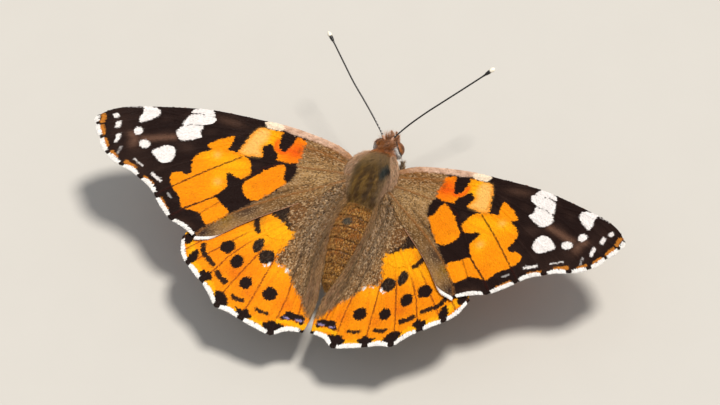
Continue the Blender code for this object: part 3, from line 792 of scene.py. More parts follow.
# soft clouds of another tone: (outwards, backwards, half width, half height, colour, amount)
foreClouds = {
    "orange": [(9.0, -1.2, 1.5, 1.5, "red", 1.0), (10.4, 3.2, 2.2, 2.4, "deep", 0.6),
               (14.6, 2.4, 1.8, 1.0, "gold", 0.9), (17.3, 2.3, 1.5, 0.9, "gold", 0.8),
               # the gold cloud at (15.8, 5.2) and the pale orange spot at (15.7, 5.0) are a painted highlight, sunlight
               # glancing off the orange scales
               (15.6, 3.8, 1.2, 0.8, "gold", 0.6), (15.8, 5.2, 0.7, 0.8, "gold", 0.9),
               (15.7, 5.0, 0.4, 0.4, "paleOrange", 0.6), (8.6, -1.35, 0.25, 0.4, "veinRed", 0.6),
               (17.0, 1.9, 0.4, 0.4, "paleOrange", 0.5), (17.6, 8.2, 1.6, 1.0, "deep", 0.45),
               (12.2, -1.8, 1.0, 1.4, "gold", 0.9)],
    "base": [(5.5, -1.9, 2.8, 1.0, "amber", 0.85), (5.6, 0.9, 2.9, 1.7, "tanLight", 0.85),
             (8.9, 5.0, 2.3, 1.2, "olive", 0.9), (11.4, 7.3, 1.7, 1.4, "umber", 0.9),
             (13.1, 9.0, 0.7, 0.9, "ochre", 0.9), (14.8, 11.3, 1.8, 0.9, "bark", 1.0),
             (2.6, 1.2, 1.2, 1.8, "ash", 0.6)],
    # the bronzeSheen clouds are a painted sheen: sunlight glinting bronze off the black scales
    "ground": [(26.4, 3.2, 0.6, 0.8, "bronzeSheen", 0.45), (27.0, 2.4, 0.5, 0.4, "bronzeSheen", 0.5),
               (17.2, -2.4, 1.6, 0.5, "bronzeSheen", 0.2), (17.2, 11.0, 1.2, 0.4, "bronzeSheen", 0.15),
               (20.7, 2.0, 1.2, 0.6, "bark", 0.5), (20.0, 6.0, 1.1, 1.0, "bark", 0.4),
               (25.0, 6.0, 2.2, 1.8, "bark", 0.4), (28.5, 1.5, 1.5, 2.0, "bark", 0.3)],
}
hindClouds = {
    "orange": [(7.2, 8.6, 2.2, 1.8, "gold", 1.0), (10.2, 9.6, 1.6, 1.3, "gold", 0.6),
               (5.6, 13.2, 1.2, 0.8, "gold", 0.6), (9.4, 14.2, 2.2, 1.8, "deep", 0.8),
               (3.2, 15.8, 1.6, 1.6, "deep", 0.5), (12.9, 13.0, 1.5, 1.0, "deep", 0.4),
               # the cloud at (10.0, 7.6) is painted shadow, cast by the forewing's inner edge onto the hindwing
               (10.0, 7.6, 0.8, 0.9, "forewingShadowBrown", 0.8), (7.6, 16.4, 0.9, 0.8, "ember", 0.5),
               (9.9, 14.6, 0.7, 0.7, "ember", 0.5), (3.4, 16.5, 0.9, 0.7, "ember", 0.5)],
    "base": [(6.1, 5.8, 1.4, 2.3, "cocoa", 0.9), (5.6, 11.2, 0.7, 1.2, "cocoa", 0.8),
             (3.9, 8.0, 0.9, 5.0, "foldTan", 0.9), (1.9, 7.5, 0.8, 5.0, "foldBrown", 0.9),
             (1.3, 14.2, 1.1, 2.4, "foldRose", 0.8)],
}
paint = {name: tone(code) for name, code in wingColours.items()}


def lay(colour, amount, over):
    # paints over by amount, which has one value for each point; colour may be a single one for all
    return colour + (over - colour) * amount[:, None]


def areaDepth(x, y, outlines, spots=()):
    # depth inside the nearest of several areas and ovals
    depth = np.full(x.shape, -farOff)
    for outline in outlines:
        depth = np.maximum(depth, depthInside(x, y, outline))
    for spot in spots:
        depth = np.maximum(depth, spotDepth(x, y, spot))
    return depth


def clouded(colour, x, y, clouds):
    # each cloud fades as exp(-distance squared), with distance in its own half widths
    for cx, cy, wide, high, name, amount in clouds:
        colour = lay(colour, amount * np.exp(-(((x - cx) / wide) ** 2 + ((y - cy) / high) ** 2)), paint[name])
    return colour


def filled(colour, x, y, areas, soft, over, shake=0.0, spots=(), amount=1.0):
    # areas and spots painted over by amount, with a soft edge that shake makes uneven
    return lay(colour, amount * cover(areaDepth(x, y, areas, spots) + shake, soft), over)


def stroked(colour, x, y, strokes, soft, over, shake=0.0):
    # each stroke is a smooth line with its half width and its strength
    for line, half, strength in strokes:
        colour = lay(colour, strength * cover(half - lineDistance(x, y, line) + shake, soft), over)
    return colour


def rays(x, y, root, count, seed):
    # fine streaks fanning out from a wing's root: waves over the angle, slowly changing outwards, from -1 to 1
    angle, far = np.arctan2(y - root[1], x - root[0]), np.hypot(x - root[0], y - root[1])
    wave = np.sin(count * angle + 0.5 * far + seed) + np.sin(1.7 * count * angle - 0.35 * far + 2 * seed)
    return (wave + np.sin(2.9 * count * angle + 0.8 * far + 3 * seed)) / 3


def speckle(colour, rng, amount, dark, light, share):
    # single scales that are darker or paler than their neighbours
    pick = rng.random(len(colour))
    colour = lay(colour, amount * (pick < share), dark)
    return lay(colour, amount * (pick > 1 - share), light)


baseShade = np.array([0.76, 0.72, 0.70])     # the grey-brown bases sit lower than the paints of which they are mixed


def foreTones(x, y, rng, under=False):
    # forewing markings: black ground, orange areas, black marks, grey-brown base, white marks, lunules and veins
    shake = 0.05 * ripple(x, y, 0.9) + rng.normal(0, 0.035, len(x))
    soft, marks = 0.1, foreMarks
    colour = clouded(paint["black"], x, y, foreClouds["ground"])
    colour = lay(colour, 0.3 * limited(ripple(x, y, 2.5, 9)), paint["bark"])
    # painted sheen: a bronze glint laid along the streak between the white marks
    colour = lay(colour, 0.5 * bell(lineDistance(x, y, marks["streak"]), 0.4), paint["bronzeSheen"])
    body = clouded(paint["orange"], x, y, foreClouds["orange"])
    body = lay(body, 0.35 * limited(rays(x, y, (3, -1), 40, 1)), paint["deep"])
    colour = filled(colour, x, y, marks["orange"], soft, body, shake)
    colour = filled(colour, x, y, marks["pale"], 0.9, paint["paleOrange"], shake - 0.15, amount=0.85)
    colour = stroked(colour, x, y, marks["ring"], 0.3, paint["red"])
    veinsSeen = zip(foreVeins["cells"], (0.08, 0.05, 0.05, 0.06), (0.95, 0.5, 0.6, 0.85))
    colour = stroked(colour, x, y, veinsSeen, 0.08, paint["vein"])
    colour = filled(colour, x, y, marks["black"], soft, paint["black"], shake)
    base = cover(areaDepth(x, y, [marks["base"]]) + 2 * shake, 0.25)
    mottled = clouded(paint["tan"], x, y, foreClouds["base"])
    mottled = lay(mottled, 0.55 * limited(rays(x, y, (1, -1), 34, 2)), paint["speckDark"])
    mottled = lay(mottled, 0.35 * limited(rays(x, y, (1, -1), 27, 5)), paint["tanLight"])
    mottled = speckle(mottled, rng, 0.6 * np.clip(1.45 - x / 12, 0.4, 1), paint["speckDark"], paint["speckLight"], 0.2)
    mottled = stroked(mottled, x, y, [(line, 0.11, 0.7) for line in foreVeins["stems"]], 0.12, paint["veinBrown"])
    mottled = stroked(mottled, x, y, [(line, 0.12, 0.5) for line in foreVeins["fold"]], 0.2, paint["speckDark"])
    colour = lay(colour, base, mottled * baseShade)
    rosy = lay(paint["costa"], limited(0.2 + 0.5 * ripple(x, y, 1.3, 3)), paint["costaDark"])
    rosy = lay(rosy, np.clip((6.5 - x) / 5, 0, 0.75), paint["amber"])
    colour = filled(colour, x, y, [marks["costa"]], 0.2, rosy, shake)
    colour = filled(colour, x, y, [marks["cream"]], soft, paint["cream"], shake)
    colour = filled(colour, x, y, marks["white"], soft, paint["white"], 0.7 * shake, marks["whiteSpots"])
    colour = stroked(colour, x, y, marks["greyLines"], 0.14, paint["white"], shake)
    colour = stroked(colour, x, y, marks["lunules"], 0.12, paint["lunule"], shake)
    if under:
        # the underside is paler and rosier, with a buff tip
        colour = lay(colour, np.full(len(x), 0.25), paint["rose"])
        colour = lay(colour, cover(x - 24.5 - 0.18 * y, 2.0) * 0.75, paint["buff"])
    return colour


def hindTones(x, y, rng, under=False):
    # hindwing markings: orange ground, grey-brown base and fold, dark spots, bars and marginal blotches
    if under:
        return hindUnderTones(x, y, rng)
    shake = 0.05 * ripple(x, y, 0.9, 2) + rng.normal(0, 0.035, len(x))
    soft, marks = 0.1, hindMarks
    colour = clouded(paint["orange"], x, y, hindClouds["orange"])
    colour = lay(colour, 0.6 * limited(rays(x, y, (3, 2), 40, 4)), paint["deep"])
    rim = lineDistance(x, y, hindShape["ends"], 60)
    chain = cover(0.85 - np.abs(rim - 0.75) / 0.45 + 0.4 * ripple(x, y, 0.8, 4), 0.5)
    colour = lay(colour, 0.85 * chain, paint["gold"])
    stripes = np.min([lineDistance(x, y, line) for line in hindVeins["cells"]], axis=0)
    reach = limited((np.hypot(x - 8, y - 8) - 2.4) / 1.5)
    colour = lay(colour, cover(0.07 - stripes, 0.1) * 0.85 * reach, paint["veinRed"])
    colour = filled(colour, x, y, marks["black"], soft, paint["black"], shake)
    colour = stroked(colour, x, y, marks["bars"], 0.14, paint["brown"], 1.2 * shake)
    colour = filled(colour, x, y, [], soft, paint["black"], shake, marks["eyespots"])
    faded = lay(paint["faded"], np.clip(0.12 * ripple(x, y, 0.8, 5), 0, 0.1), paint["foldBrown"])
    faded = speckle(faded, rng, 0.12, paint["black"], paint["ash"], 0.3)
    colour = filled(colour, x, y, [], 0.14, faded, shake, marks["faded"])
    colour = stroked(colour, x, y, marks["crescent"], soft, paint["gold"], shake)
    colour = filled(colour, x, y, [], 0.12, paint["lilac"], shake, marks["lilac"], 0.8)
    colour = filled(colour, x, y, [], 0.1, paint["white"], shake, marks["chips"])
    base = cover(areaDepth(x, y, [marks["base"]]) + 3 * shake, 0.3)
    out = fromBody(x, y)
    fold = clouded(paint["tan"], x, y, hindClouds["base"])
    shadow = limited(np.sin(2 * math.pi * out / pleatPitch + 2.2)) * limited((3.6 - out) / 1.5)
    fold = lay(fold, 0.45 * shadow, paint["speckDark"])
    fold = lay(fold, 0.4 * limited(np.sin(2 * math.pi * out / 0.31 + ripple(x, y, 3))), paint["cocoa"])
    fold = speckle(fold, rng, 0.7 * np.clip((out - 0.9) / 0.8, 0.25, 1), paint["speckDark"], paint["speckLight"], 0.24)
    grey = np.exp(-(((out - 1.9) / 1.3) ** 4)) * limited((13.5 - y) / 5)
    pick = rng.random(len(x))
    fold = lay(fold, 0.6 * grey * (pick < 0.4), paint["greyDark"])
    fold = lay(fold, 0.5 * grey * (pick > 0.72), paint["greyLight"])
    fold = stroked(fold, x, y, [(line, 0.1, 0.75) for line in hindVeins["fold"]], 0.15, paint["speckDark"], shake)
    colour = lay(colour, base, fold * baseShade)
    return filled(colour, x, y, marks["dark"], 0.2, paint["brown"], 2 * shake, amount=0.95)


def hindUnderTones(x, y, rng):
    # underside: brown and buff marbling between pale veins, four small eyespots and a lilac line inside the margin
    shake = rng.normal(0, 0.04, len(x))
    cloud = ripple(x, y, 3.1, 6) + 0.6 * ripple(x, y, 1.4, 7)
    colour = lay(paint["buff"], cover(cloud - 0.1 + shake, 0.25), paint["marble"])
    colour = lay(colour, cover(cloud - 0.6 + shake, 0.2), paint["marbleDark"])
    colour = lay(colour, cover(-cloud - 0.55 + shake, 0.2), paint["paleVein"])
    rim = lineDistance(x, y, hindShape["ends"], 60)
    colour = lay(colour, cover(0.25 - np.abs(rim - 1.1) + shake, 0.15) * 0.8, paint["lilac"])
    colour = lay(colour, cover(0.12 - np.abs(rim - 0.6) + shake, 0.1) * 0.8, paint["marbleDark"])
    for cx, cy, rx, ry in hindMarks["eyespots"]:
        for wider, name in ((0.25, "paleVein"), (0.0, "gold"), (-0.2, "black")):
            colour = lay(colour, cover(spotDepth(x, y, (cx, cy, rx + wider, ry + wider)) + shake, 0.1), paint[name])
        colour = lay(colour, cover(spotDepth(x, y, (cx, cy, 0.18, 0.18)) + shake, 0.08), paint["lilac"])
    return stroked(colour, x, y, [(line, 0.1, 0.8) for line in hindVeins["cells"]], 0.1, paint["paleVein"])


wingTones = {"fore": foreTones, "hind": hindTones}
planBox = {"low": (-1.0, -5.0), "size": 34.0}


def planMap(plan):
    # the wing's own plan as its unwrap, for either face
    return (plan - np.array(planBox["low"])) / planBox["size"] * 0.98 + 0.01


membrane = wingMembrane()
wingScales = chitinScales("overlappingWingScales", 2.5, (0.5, 0.72), 0.0)
fringeScales = chitinScales("fringeHairScales", 1.5, (0.55, 0.75), 0.05)
wingHair = softHair("wingBaseHair", (0.5, 0.7), 0.05)


def buildWingSkin(kind):
    # both layers on one grid, stitched round the edge into a closed sheet
    shape = shapes[kind]
    rows, columns = shape["rows"], shape["perCell"] * len(shape["dips"]) + 1
    t = np.linspace(0, 1, columns)
    s = np.linspace(0, 1, rows)[:, None] * membraneEnd(kind, t)[None, :]
    t = np.broadcast_to(t, s.shape)
    plan = wingPlan(kind, s, t)
    x, y = plan[..., 0].reshape(-1), plan[..., 1].reshape(-1)
    relief = wingRelief(kind, x, y).reshape(s.shape)
    top = wingTones[kind](x, y, np.random.default_rng(11))
    below = wingTones[kind](x, y, np.random.default_rng(12), under=True)
    n = rows * columns
    edge = np.concatenate([np.arange(columns), np.arange(2, rows) * columns - 1,
                           np.arange(n - 1, n - columns - 1, -1), np.arange(rows - 2, 0, -1) * columns])
    nxt = np.roll(edge, -1)
    stitch = np.stack([edge, edge + n, nxt + n, nxt], -1)
    for side in sides:
        upper = wingPoints(kind, side, s, t, 1.0, relief).reshape(-1, 3)
        lower = wingPoints(kind, side, s, t, -1.0, relief).reshape(-1, 3)
        left = side == "Left"
        faces = [gridFaces(rows, columns, flip=not left), gridFaces(rows, columns, flip=left) + n,
                 stitch[:, ::-1] if left else stitch]
        makePiece(f"{kind}wing{side}", np.vstack([upper, lower]), faces, membrane,
                  np.vstack([top, below]) * 0.9, replaced=[f"{kind}wing_{side.lower()}"])


# Real scales are 0.1 to 0.2 mm long; these are 0.3 and 0.4 mm, so that the coat stays within its share of triangles.
scaleCoat = {
    "upper": {"rowPitch": 0.145, "pitch": 0.135, "long": 0.30, "wide": 0.175, "lift": 0.030},
    "under": {"rowPitch": 0.20, "pitch": 0.185, "long": 0.40, "wide": 0.24, "lift": 0.030},
    "bareRoot": 0.05, "shown": 0.65,
}


def buildScaleCoat(kind, under):
    # flat scales in rows over one face of the wing, pointing from root to margin, each of a single colour
    face = "under" if under else "upper"
    size, rng = scaleCoat[face], np.random.default_rng(21 + under)

    def flat(s, t):
        plan = wingPlan(kind, s, t)
        return np.concatenate([plan, np.zeros_like(plan[..., :1])], -1)

    s, t = rootsOver(flat, size["rowPitch"], size["pitch"], rng)
    keep = s > scaleCoat["bareRoot"]
    s, t = s[keep] * membraneEnd(kind, t[keep]) * 0.995, t[keep] * 0.992 + 0.004     # just inside the edges
    plan = wingPlan(kind, s, t)
    count, layer = len(s), -1.0 if under else 1.0
    length = size["long"] * rng.uniform(0.85, 1.15, count)
    outwards = unit(wingPlan(kind, s + 0.004, t) - plan)
    shown = plan + outwards * (scaleCoat["shown"] * length)[:, None]      # the part that the next row leaves bare
    tones = wingTones[kind](shown[:, 0], shown[:, 1], rng, under=under)
    tones = tones * rng.normal(0.89, 0.07, count)[:, None]
    width = size["wide"] * rng.uniform(0.9, 1.1, count)
    lift = size["lift"] * rng.uniform(0.5, 1.5, count)
    for side in sides:
        here, ahead, up = surfaceFrame(lambda a, b: wingPoints(kind, side, a, b, layer), s, t)
        up = up * np.sign(up[:, 2:]) * layer
        lie = ahead + np.cross(up, ahead) * rng.normal(0, 0.12, count)[:, None]
        piece = makeCoat(f"{kind}wing{side}{face.title()}Scales", blades, here - up * 0.012, lie, up, length, width,
                         lift, tones, planMap(plan), wingScales, rootShade=0.8)
        piece.data.shade_flat()     # a scale catches the light as one flat plate


fringeMake = {"perCell": 430, "long": 0.54, "shortLong": 0.26, "wide": 0.09, "shortShare": 0.04, "darkShare": 0.11,
              "inner": {"count": 1500, "span": (0.35, 0.985), "t": 0.997, "long": 0.12, "more": 0.32,
                        "whiteFrom": 0.87}}


def buildFringe(kind):
    # fine hair scales round the margin: white between the veins, dark at each vein end. Along the forewing's inner
    # margin they start short and rosy and grow long and white.
    shape, rng, make = shapes[kind], np.random.default_rng(31), fringeMake
    cells = len(shape["dips"])
    count = cells * make["perCell"]
    t = np.sort(rng.random(count))
    frac = t * cells
    near = np.abs(frac - np.round(frac))
    dark = near < make["darkShare"] + rng.normal(0, 0.012, count)
    short = rng.random(count) < make["shortShare"]
    s = membraneEnd(kind, t) - 0.0015
    tones = np.where((dark | short)[:, None], paint["brown"], paint["fringe"])
    length = np.where(short, make["shortLong"], make["long"]) * np.where(dark, 0.7, 0.72 + 0.4 * np.sin(math.pi * near))
    step, line = 0.003, shape["marginLine"]
    run = readLine(line, np.minimum(t + step, 1)) - readLine(line, np.maximum(t - step, 0))
    if kind == "fore":
        inner, line = make["inner"], shape["innerLine"]
        more = inner["count"]
        far = rng.uniform(*inner["span"], more)
        run = np.vstack([run, readLine(line, far - step) - readLine(line, far + step)])
        s, t = np.concatenate([s, far]), np.concatenate([t, np.full(more, inner["t"])])
        white = cover(far - inner["whiteFrom"], 0.1)
        tones = np.vstack([tones, lay(np.tile(paint["costaDark"], (more, 1)), white, paint["fringe"])])
        length = np.concatenate([length, inner["long"] + inner["more"] * white])
    count = len(s)
    tones = tones * rng.normal(1.0, 0.05, count)[:, None]
    length = length * rng.uniform(0.85, 1.15, count)
    for side in sides:
        here = wingPoints(kind, side, s, t, 0.0)
        tip = wingPoints(kind, side, np.minimum(s + 0.01, 1), t, 0.0)
        out = np.stack([sides[side] * run[:, 1], -run[:, 0], np.zeros(count)], -1)
        along = np.where(t > 0.995, 0.3, 1.0)[:, None] * unit(tip - here)
        lie = along + 0.9 * unit(out) + rng.normal(0, 0.10, (count, 3))
        here = here + np.array([0, 0, 1]) * rng.choice([-0.03, 0.0, 0.03], count)[:, None]
        up = np.tile([0.0, 0.0, 1.0], (count, 1))
        piece = makeCoat(f"{kind}wing{side}Fringe", blades, here, lie, up, length, make["wide"],
                         rng.normal(0, 0.02, count), tones, planMap(wingPlan(kind, s, t)), fringeScales,
                         rootShade=1.0)
        piece.data.shade_flat()


wingHairMake = {"fore": {"count": 4400, "long": 1.0}, "hind": {"count": 6800, "long": 1.25}, "wide": 0.035}


def buildWingHair(kind):
    # long hair scales over the wing base, the inner margin and the fold beside the body
    rng = np.random.default_rng(41)
    total = wingHairMake[kind]["count"]
    s, t = rng.random(total * 3) ** 1.1 * 0.9 + 0.03, rng.random(total * 3)
    plan = wingPlan(kind, s, t)
    x, y = plan[:, 0], plan[:, 1]
    inside = depthInside(x, y, (foreMarks if kind == "fore" else hindMarks)["base"])
    area = np.clip(s, 0.1, 1)
    wanted = inside > 0.15
    if kind == "hind":
        wanted &= behindForewing(x, y) > 0.6
    thin = np.clip(1.2 - x / 16, 0.15, 1) if kind == "fore" else np.where(x < 2.6, 1.0, 0.3)
    wanted &= rng.random(len(s)) < area * thin * 1.6
    s, t, x, y = s[wanted][:total], t[wanted][:total], x[wanted][:total], y[wanted][:total]
    count = len(s)
    colour = wingTones[kind](x, y, rng)
    colour = lay(colour, 0.25 * limited(1.2 - x / 10), paint["tanLight"]) * rng.normal(1.0, 0.3, count)[:, None]
    closeness = np.clip(1.3 - x / 9, 0.35, 1)
    length = rng.uniform(0.45, 1.0, count) * closeness * wingHairMake[kind]["long"]
    for side in sides:
        here, ahead, up = surfaceFrame(lambda a, b: wingPoints(kind, side, a, b, 1.0), s, t)
        up = up * np.sign(up[:, 2:])
        lie = ahead + np.cross(up, ahead) * rng.normal(0, 0.16, count)[:, None]
        makeCoat(f"{kind}wing{side}Hair", hairs, here - up * 0.01, lie, up, length, wingHairMake["wide"],
                 length * rng.uniform(0.04, 0.16, count), limited(colour), planMap(wingPlan(kind, s, t)),
                 wingHair, rootShade=0.65)


for kind in ("fore", "hind"):
    buildWingSkin(kind)
    buildScaleCoat(kind, False)
    buildScaleCoat(kind, True)
    buildFringe(kind)
    buildWingHair(kind)
print("wings")

# Body: one skin from the face to the tip of the abdomen, as rings (Y, centre height, half width, half height)

bodySections = [(-6.38, 0.20, 0.06, 0.06), (-6.30, 0.21, 0.38, 0.42), (-5.98, 0.30, 0.76, 0.88),
                (-5.45, 0.38, 0.88, 1.08), (-4.90, 0.42, 0.88, 1.04), (-4.45, 0.48, 0.82, 0.90),
                (-4.10, 0.52, 1.02, 1.02), (-3.5, 0.55, 1.55, 1.45), (-2.1, 0.58, 2.25, 1.90),
                (-0.5, 0.58, 2.45, 2.02), (1.1, 0.60, 2.20, 1.88), (2.05, 0.62, 1.75, 1.58), (2.65, 0.66, 1.45, 1.34),
                (3.3, 0.70, 1.72, 1.62), (4.5, 0.72, 2.00, 1.90), (6.5, 0.72, 2.12, 1.96), (8.5, 0.58, 1.98, 1.76),
                (10.5, 0.38, 1.58, 1.42), (12.2, 0.20, 0.96, 0.90), (12.9, 0.15, 0.45, 0.42), (13.08, 0.15, 0.06, 0.06)]
bodyMake = {"rows": 300, "around": 96, "squareness": 0.93, "headSquarer": 0.14, "segmentStep": 0.05, "furrow": 0.05,
            "groove": 0.03, "ringedTo": 12.9, "segments": [3.0, 4.5, 5.9, 7.3, 8.7, 10.0, 11.2, 12.2, 13.2]}
bodyLine = curveThrough(bodySections, 700)
bodyColours = {
    "olive": "#A0824E", "darkOlive": "#5C3C18", "gold": "#B48A42", "tan": "#B49068", "pink": "#E0B494",
    "slate": "#3C4A48", "collar": "#C06C28", "belly": "#CDBB9C", "abdomen": "#A26A2E", "abdomenPale": "#D4A25A",
    "abdomenDark": "#4E2C10", "ochre": "#94681A", "headBrown": "#B46E30", "headPink": "#C89A7C", "white": "#F6F2EC",
    "black": "#0E0907", "eye": "#A4622C", "eyeDark": "#4C2612", "legPale": "#BFA783", "legDark": "#5A4330",
    "tarsus": "#8E6B48", "tongue": "#2E1C12", "clubTip": "#F6EEDC",
}
coatPaint = {name: tone(code) for name, code in bodyColours.items()}


def segmentPhase(y):
    # from 0 at a segment's front edge to 1 at its rear one
    edges = np.array(bodyMake["segments"])
    part = np.interp(y, edges, np.arange(len(edges)))
    return part - np.floor(part)


def bodyPoints(s, a):
    # rings of a slightly squared circle along Y; in the abdomen each ring swells towards the rear of its segment
    where = np.linspace(0, 1, len(bodyLine))
    y, z, wide, high = (np.interp(s, where, bodyLine[:, k]) for k in range(4))
    angle = 2 * math.pi * a - math.pi / 2
    c, v = np.cos(angle), np.sin(angle)
    square = bodyMake["squareness"] - bodyMake["headSquarer"] * bell(y + 5.3, 0.8)
    c, v = np.sign(c) * np.abs(c) ** square, np.sign(v) * np.abs(v) ** square
    phase, ringed = segmentPhase(y), (y > bodyMake["segments"][0]) & (y < bodyMake["ringedTo"])
    step = bodyMake["segmentStep"] * (phase - 0.5 - limited((phase - 0.93) / 0.07)) * ringed
    # a furrow across the rear of the thorax and a groove along the middle of its back
    furrow = -bodyMake["furrow"] * bell(y - 1.55, 0.16) * limited(v)
    groove = -bodyMake["groove"] * bell(c, 0.08) * (v > 0) * limited((y + 3.6) / 0.5) * limited((1.4 - y) / 0.4)
    swell = 1 + step + furrow + groove
    return np.stack([np.maximum(wide, 0.03) * c * swell, y, z + np.maximum(high, 0.03) * v * swell], -1)


def bodyTones(points, rng):
    # coat colours by place: brown head, rusty collar, olive thorax with tan sides, speckled abdomen, pale belly
    x, y, z = points[:, 0], points[:, 1], points[:, 2]
    c = coatPaint
    high = limited((z - 0.2) / 1.6)
    thorax = lay(c["tan"], high * limited(1.6 - np.abs(x) / 1.5), c["olive"])
    thorax = lay(thorax, 0.5 * cover(-2.4 - y, 1.4) * high, c["tan"])
    rear = cover(y + 2.1, 2.4) * cover(1.45 - np.abs(x), 0.9) * high
    thorax = lay(thorax, 0.8 * rear, c["darkOlive"])
    arcs = np.sin(7.0 * (np.abs(x) + 0.10 * (y - 0.5) ** 2) + 0.6 * ripple(x, y, 1.5, 3))
    thorax = lay(thorax, 0.95 * limited(arcs) * rear, c["gold"])
    # a patch before each wing: its bluish-grey is a painted sheen on bare cuticle and the black spot is the bare
    # cuticle itself, both stronger on the right side
    bare = np.where(x < 0, 0.95, 0.3) * cover(0.45 - np.hypot((np.abs(x) - 1.4) * 1.3, (y + 1.7) * 0.5), 0.3)
    thorax = lay(thorax, bare, c["slate"])
    bare = np.where(x < 0, 0.9, 0.3) * cover(0.3 - np.hypot(np.abs(x) - 1.75, (y + 1.9) * 0.8), 0.2)
    thorax = lay(thorax, bare, c["black"])
    thorax = lay(thorax, np.clip((np.abs(x) - 1.7) / 0.6, 0, 0.7) * high, c["pink"])
    # painted shade: a dark band in the furrow across the rear of the thorax
    thorax = lay(thorax, 0.8 * bell(y - 1.45 - 0.15 * x**2, 0.2), c["darkOlive"])
    thorax = lay(thorax, 0.7 * limited((y - 1.9) / 0.4), c["gold"])
    phase = segmentPhase(y)
    belly = lay(c["abdomen"], 0.15 * limited(1 - (y - 3) / 2.5), c["gold"])
    belly = lay(belly, 0.3 * limited((y - 9.0) / 2), c["ochre"])
    belly = lay(belly, 0.15 * bell(np.minimum(phase, 1 - phase), 0.11), c["abdomenDark"])
    belly = lay(belly, 0.5 * limited(ripple(x, y, 1.1, 8) + 0.3 - y / 20), c["abdomenDark"])
    belly = lay(belly, 0.4 * bell(phase - 0.72, 0.12), c["abdomenPale"])
    belly = lay(belly, 0.5 * limited(ripple(x, y, 1.7, 4)) * cover(9.5 - y, 2), c["collar"])
    belly = speckle(belly, rng, 0.75, c["abdomenDark"], c["abdomenPale"], 0.2)
    patch = 0.8 * cover(0.5 - np.hypot(x - 0.1, y - 5.2), 0.35) * cover(z - 1.5, 0.5)
    colour = lay(lay(thorax, cover(y - 2.75, 0.3), belly), patch, c["slate"])
    face = lay(c["headBrown"], np.clip(0.2 + ripple(x, y, 0.9, 2), 0, 0.6), c["headPink"])
    face = speckle(face, rng, 0.5, c["abdomenDark"], c["headPink"], 0.16)
    face = lay(face, cover(-0.35 - z, 0.4), c["white"])
    colour = lay(colour, cover(-4.1 - y, 0.3), face)
    collar = bell(y + 4.15, 0.36) * limited(high * 1.4)
    colour = lay(colour, 0.9 * collar, c["collar"])
    under = cover(0.1 - z, 0.9) * cover(y + 4.3, 0.4)
    return lay(colour, 0.85 * under, c["belly"])


cuticle = bodyCuticle()
thoraxHair = softHair("thoraxHair", (0.45, 0.7), 0.08)
headHair = softHair("headHair", (0.45, 0.7), 0.08)
bodyScales = chitinScales("abdomenScales", 2.5, (0.45, 0.7), 0.04)
eyeCentre, eyeRadii, eyeTurn = np.array([1.0, -5.3, 0.4]), np.array([0.78, 0.82, 0.92]), math.radians(34)


def eyeEdgeDistance(points):
    # how far a point is outside the eye's ellipsoid, in millimetres, on either side of the head
    mirrored = np.abs(points * [1, 0, 0]) + points * [0, 1, 1]
    return (np.linalg.norm((mirrored - eyeCentre) / eyeRadii, axis=1) - 1) * eyeRadii[1]


def buildBodySkin():
    flat, faces = closedShell(bodyPoints, 0, 1, bodyMake["rows"], bodyMake["around"])
    tones = bodyTones(flat, np.random.default_rng(51))
    makePiece("bodySkin", flat, faces, cuticle, tones * 0.55, replaced=["thorax", "abdomen", "head"])


bodyCoats = {
    "head": {"from": -6.5, "to": -4.1, "rowPitch": 0.07, "pitch": 0.065,
             "long": (0.28, 0.52), "lift": (0.2, 0.6), "wide": 0.03},
    "thorax": {"from": -4.25, "to": 2.95, "rowPitch": 0.095, "pitch": 0.082,
               "long": (0.8, 1.35), "lift": (0.12, 0.5), "wide": 0.034},
    "abdomen": {"from": 2.4, "to": 13.1, "rowPitch": 0.115, "pitch": 0.105,
                "long": (0.30, 0.46), "lift": (0.04, 0.12), "wide": 0.16},
    "abdomenDown": {"from": 2.4, "to": 12.9, "rowPitch": 0.20, "pitch": 0.19,
                    "long": (0.45, 0.85), "lift": (0.15, 0.35), "wide": 0.03},
}


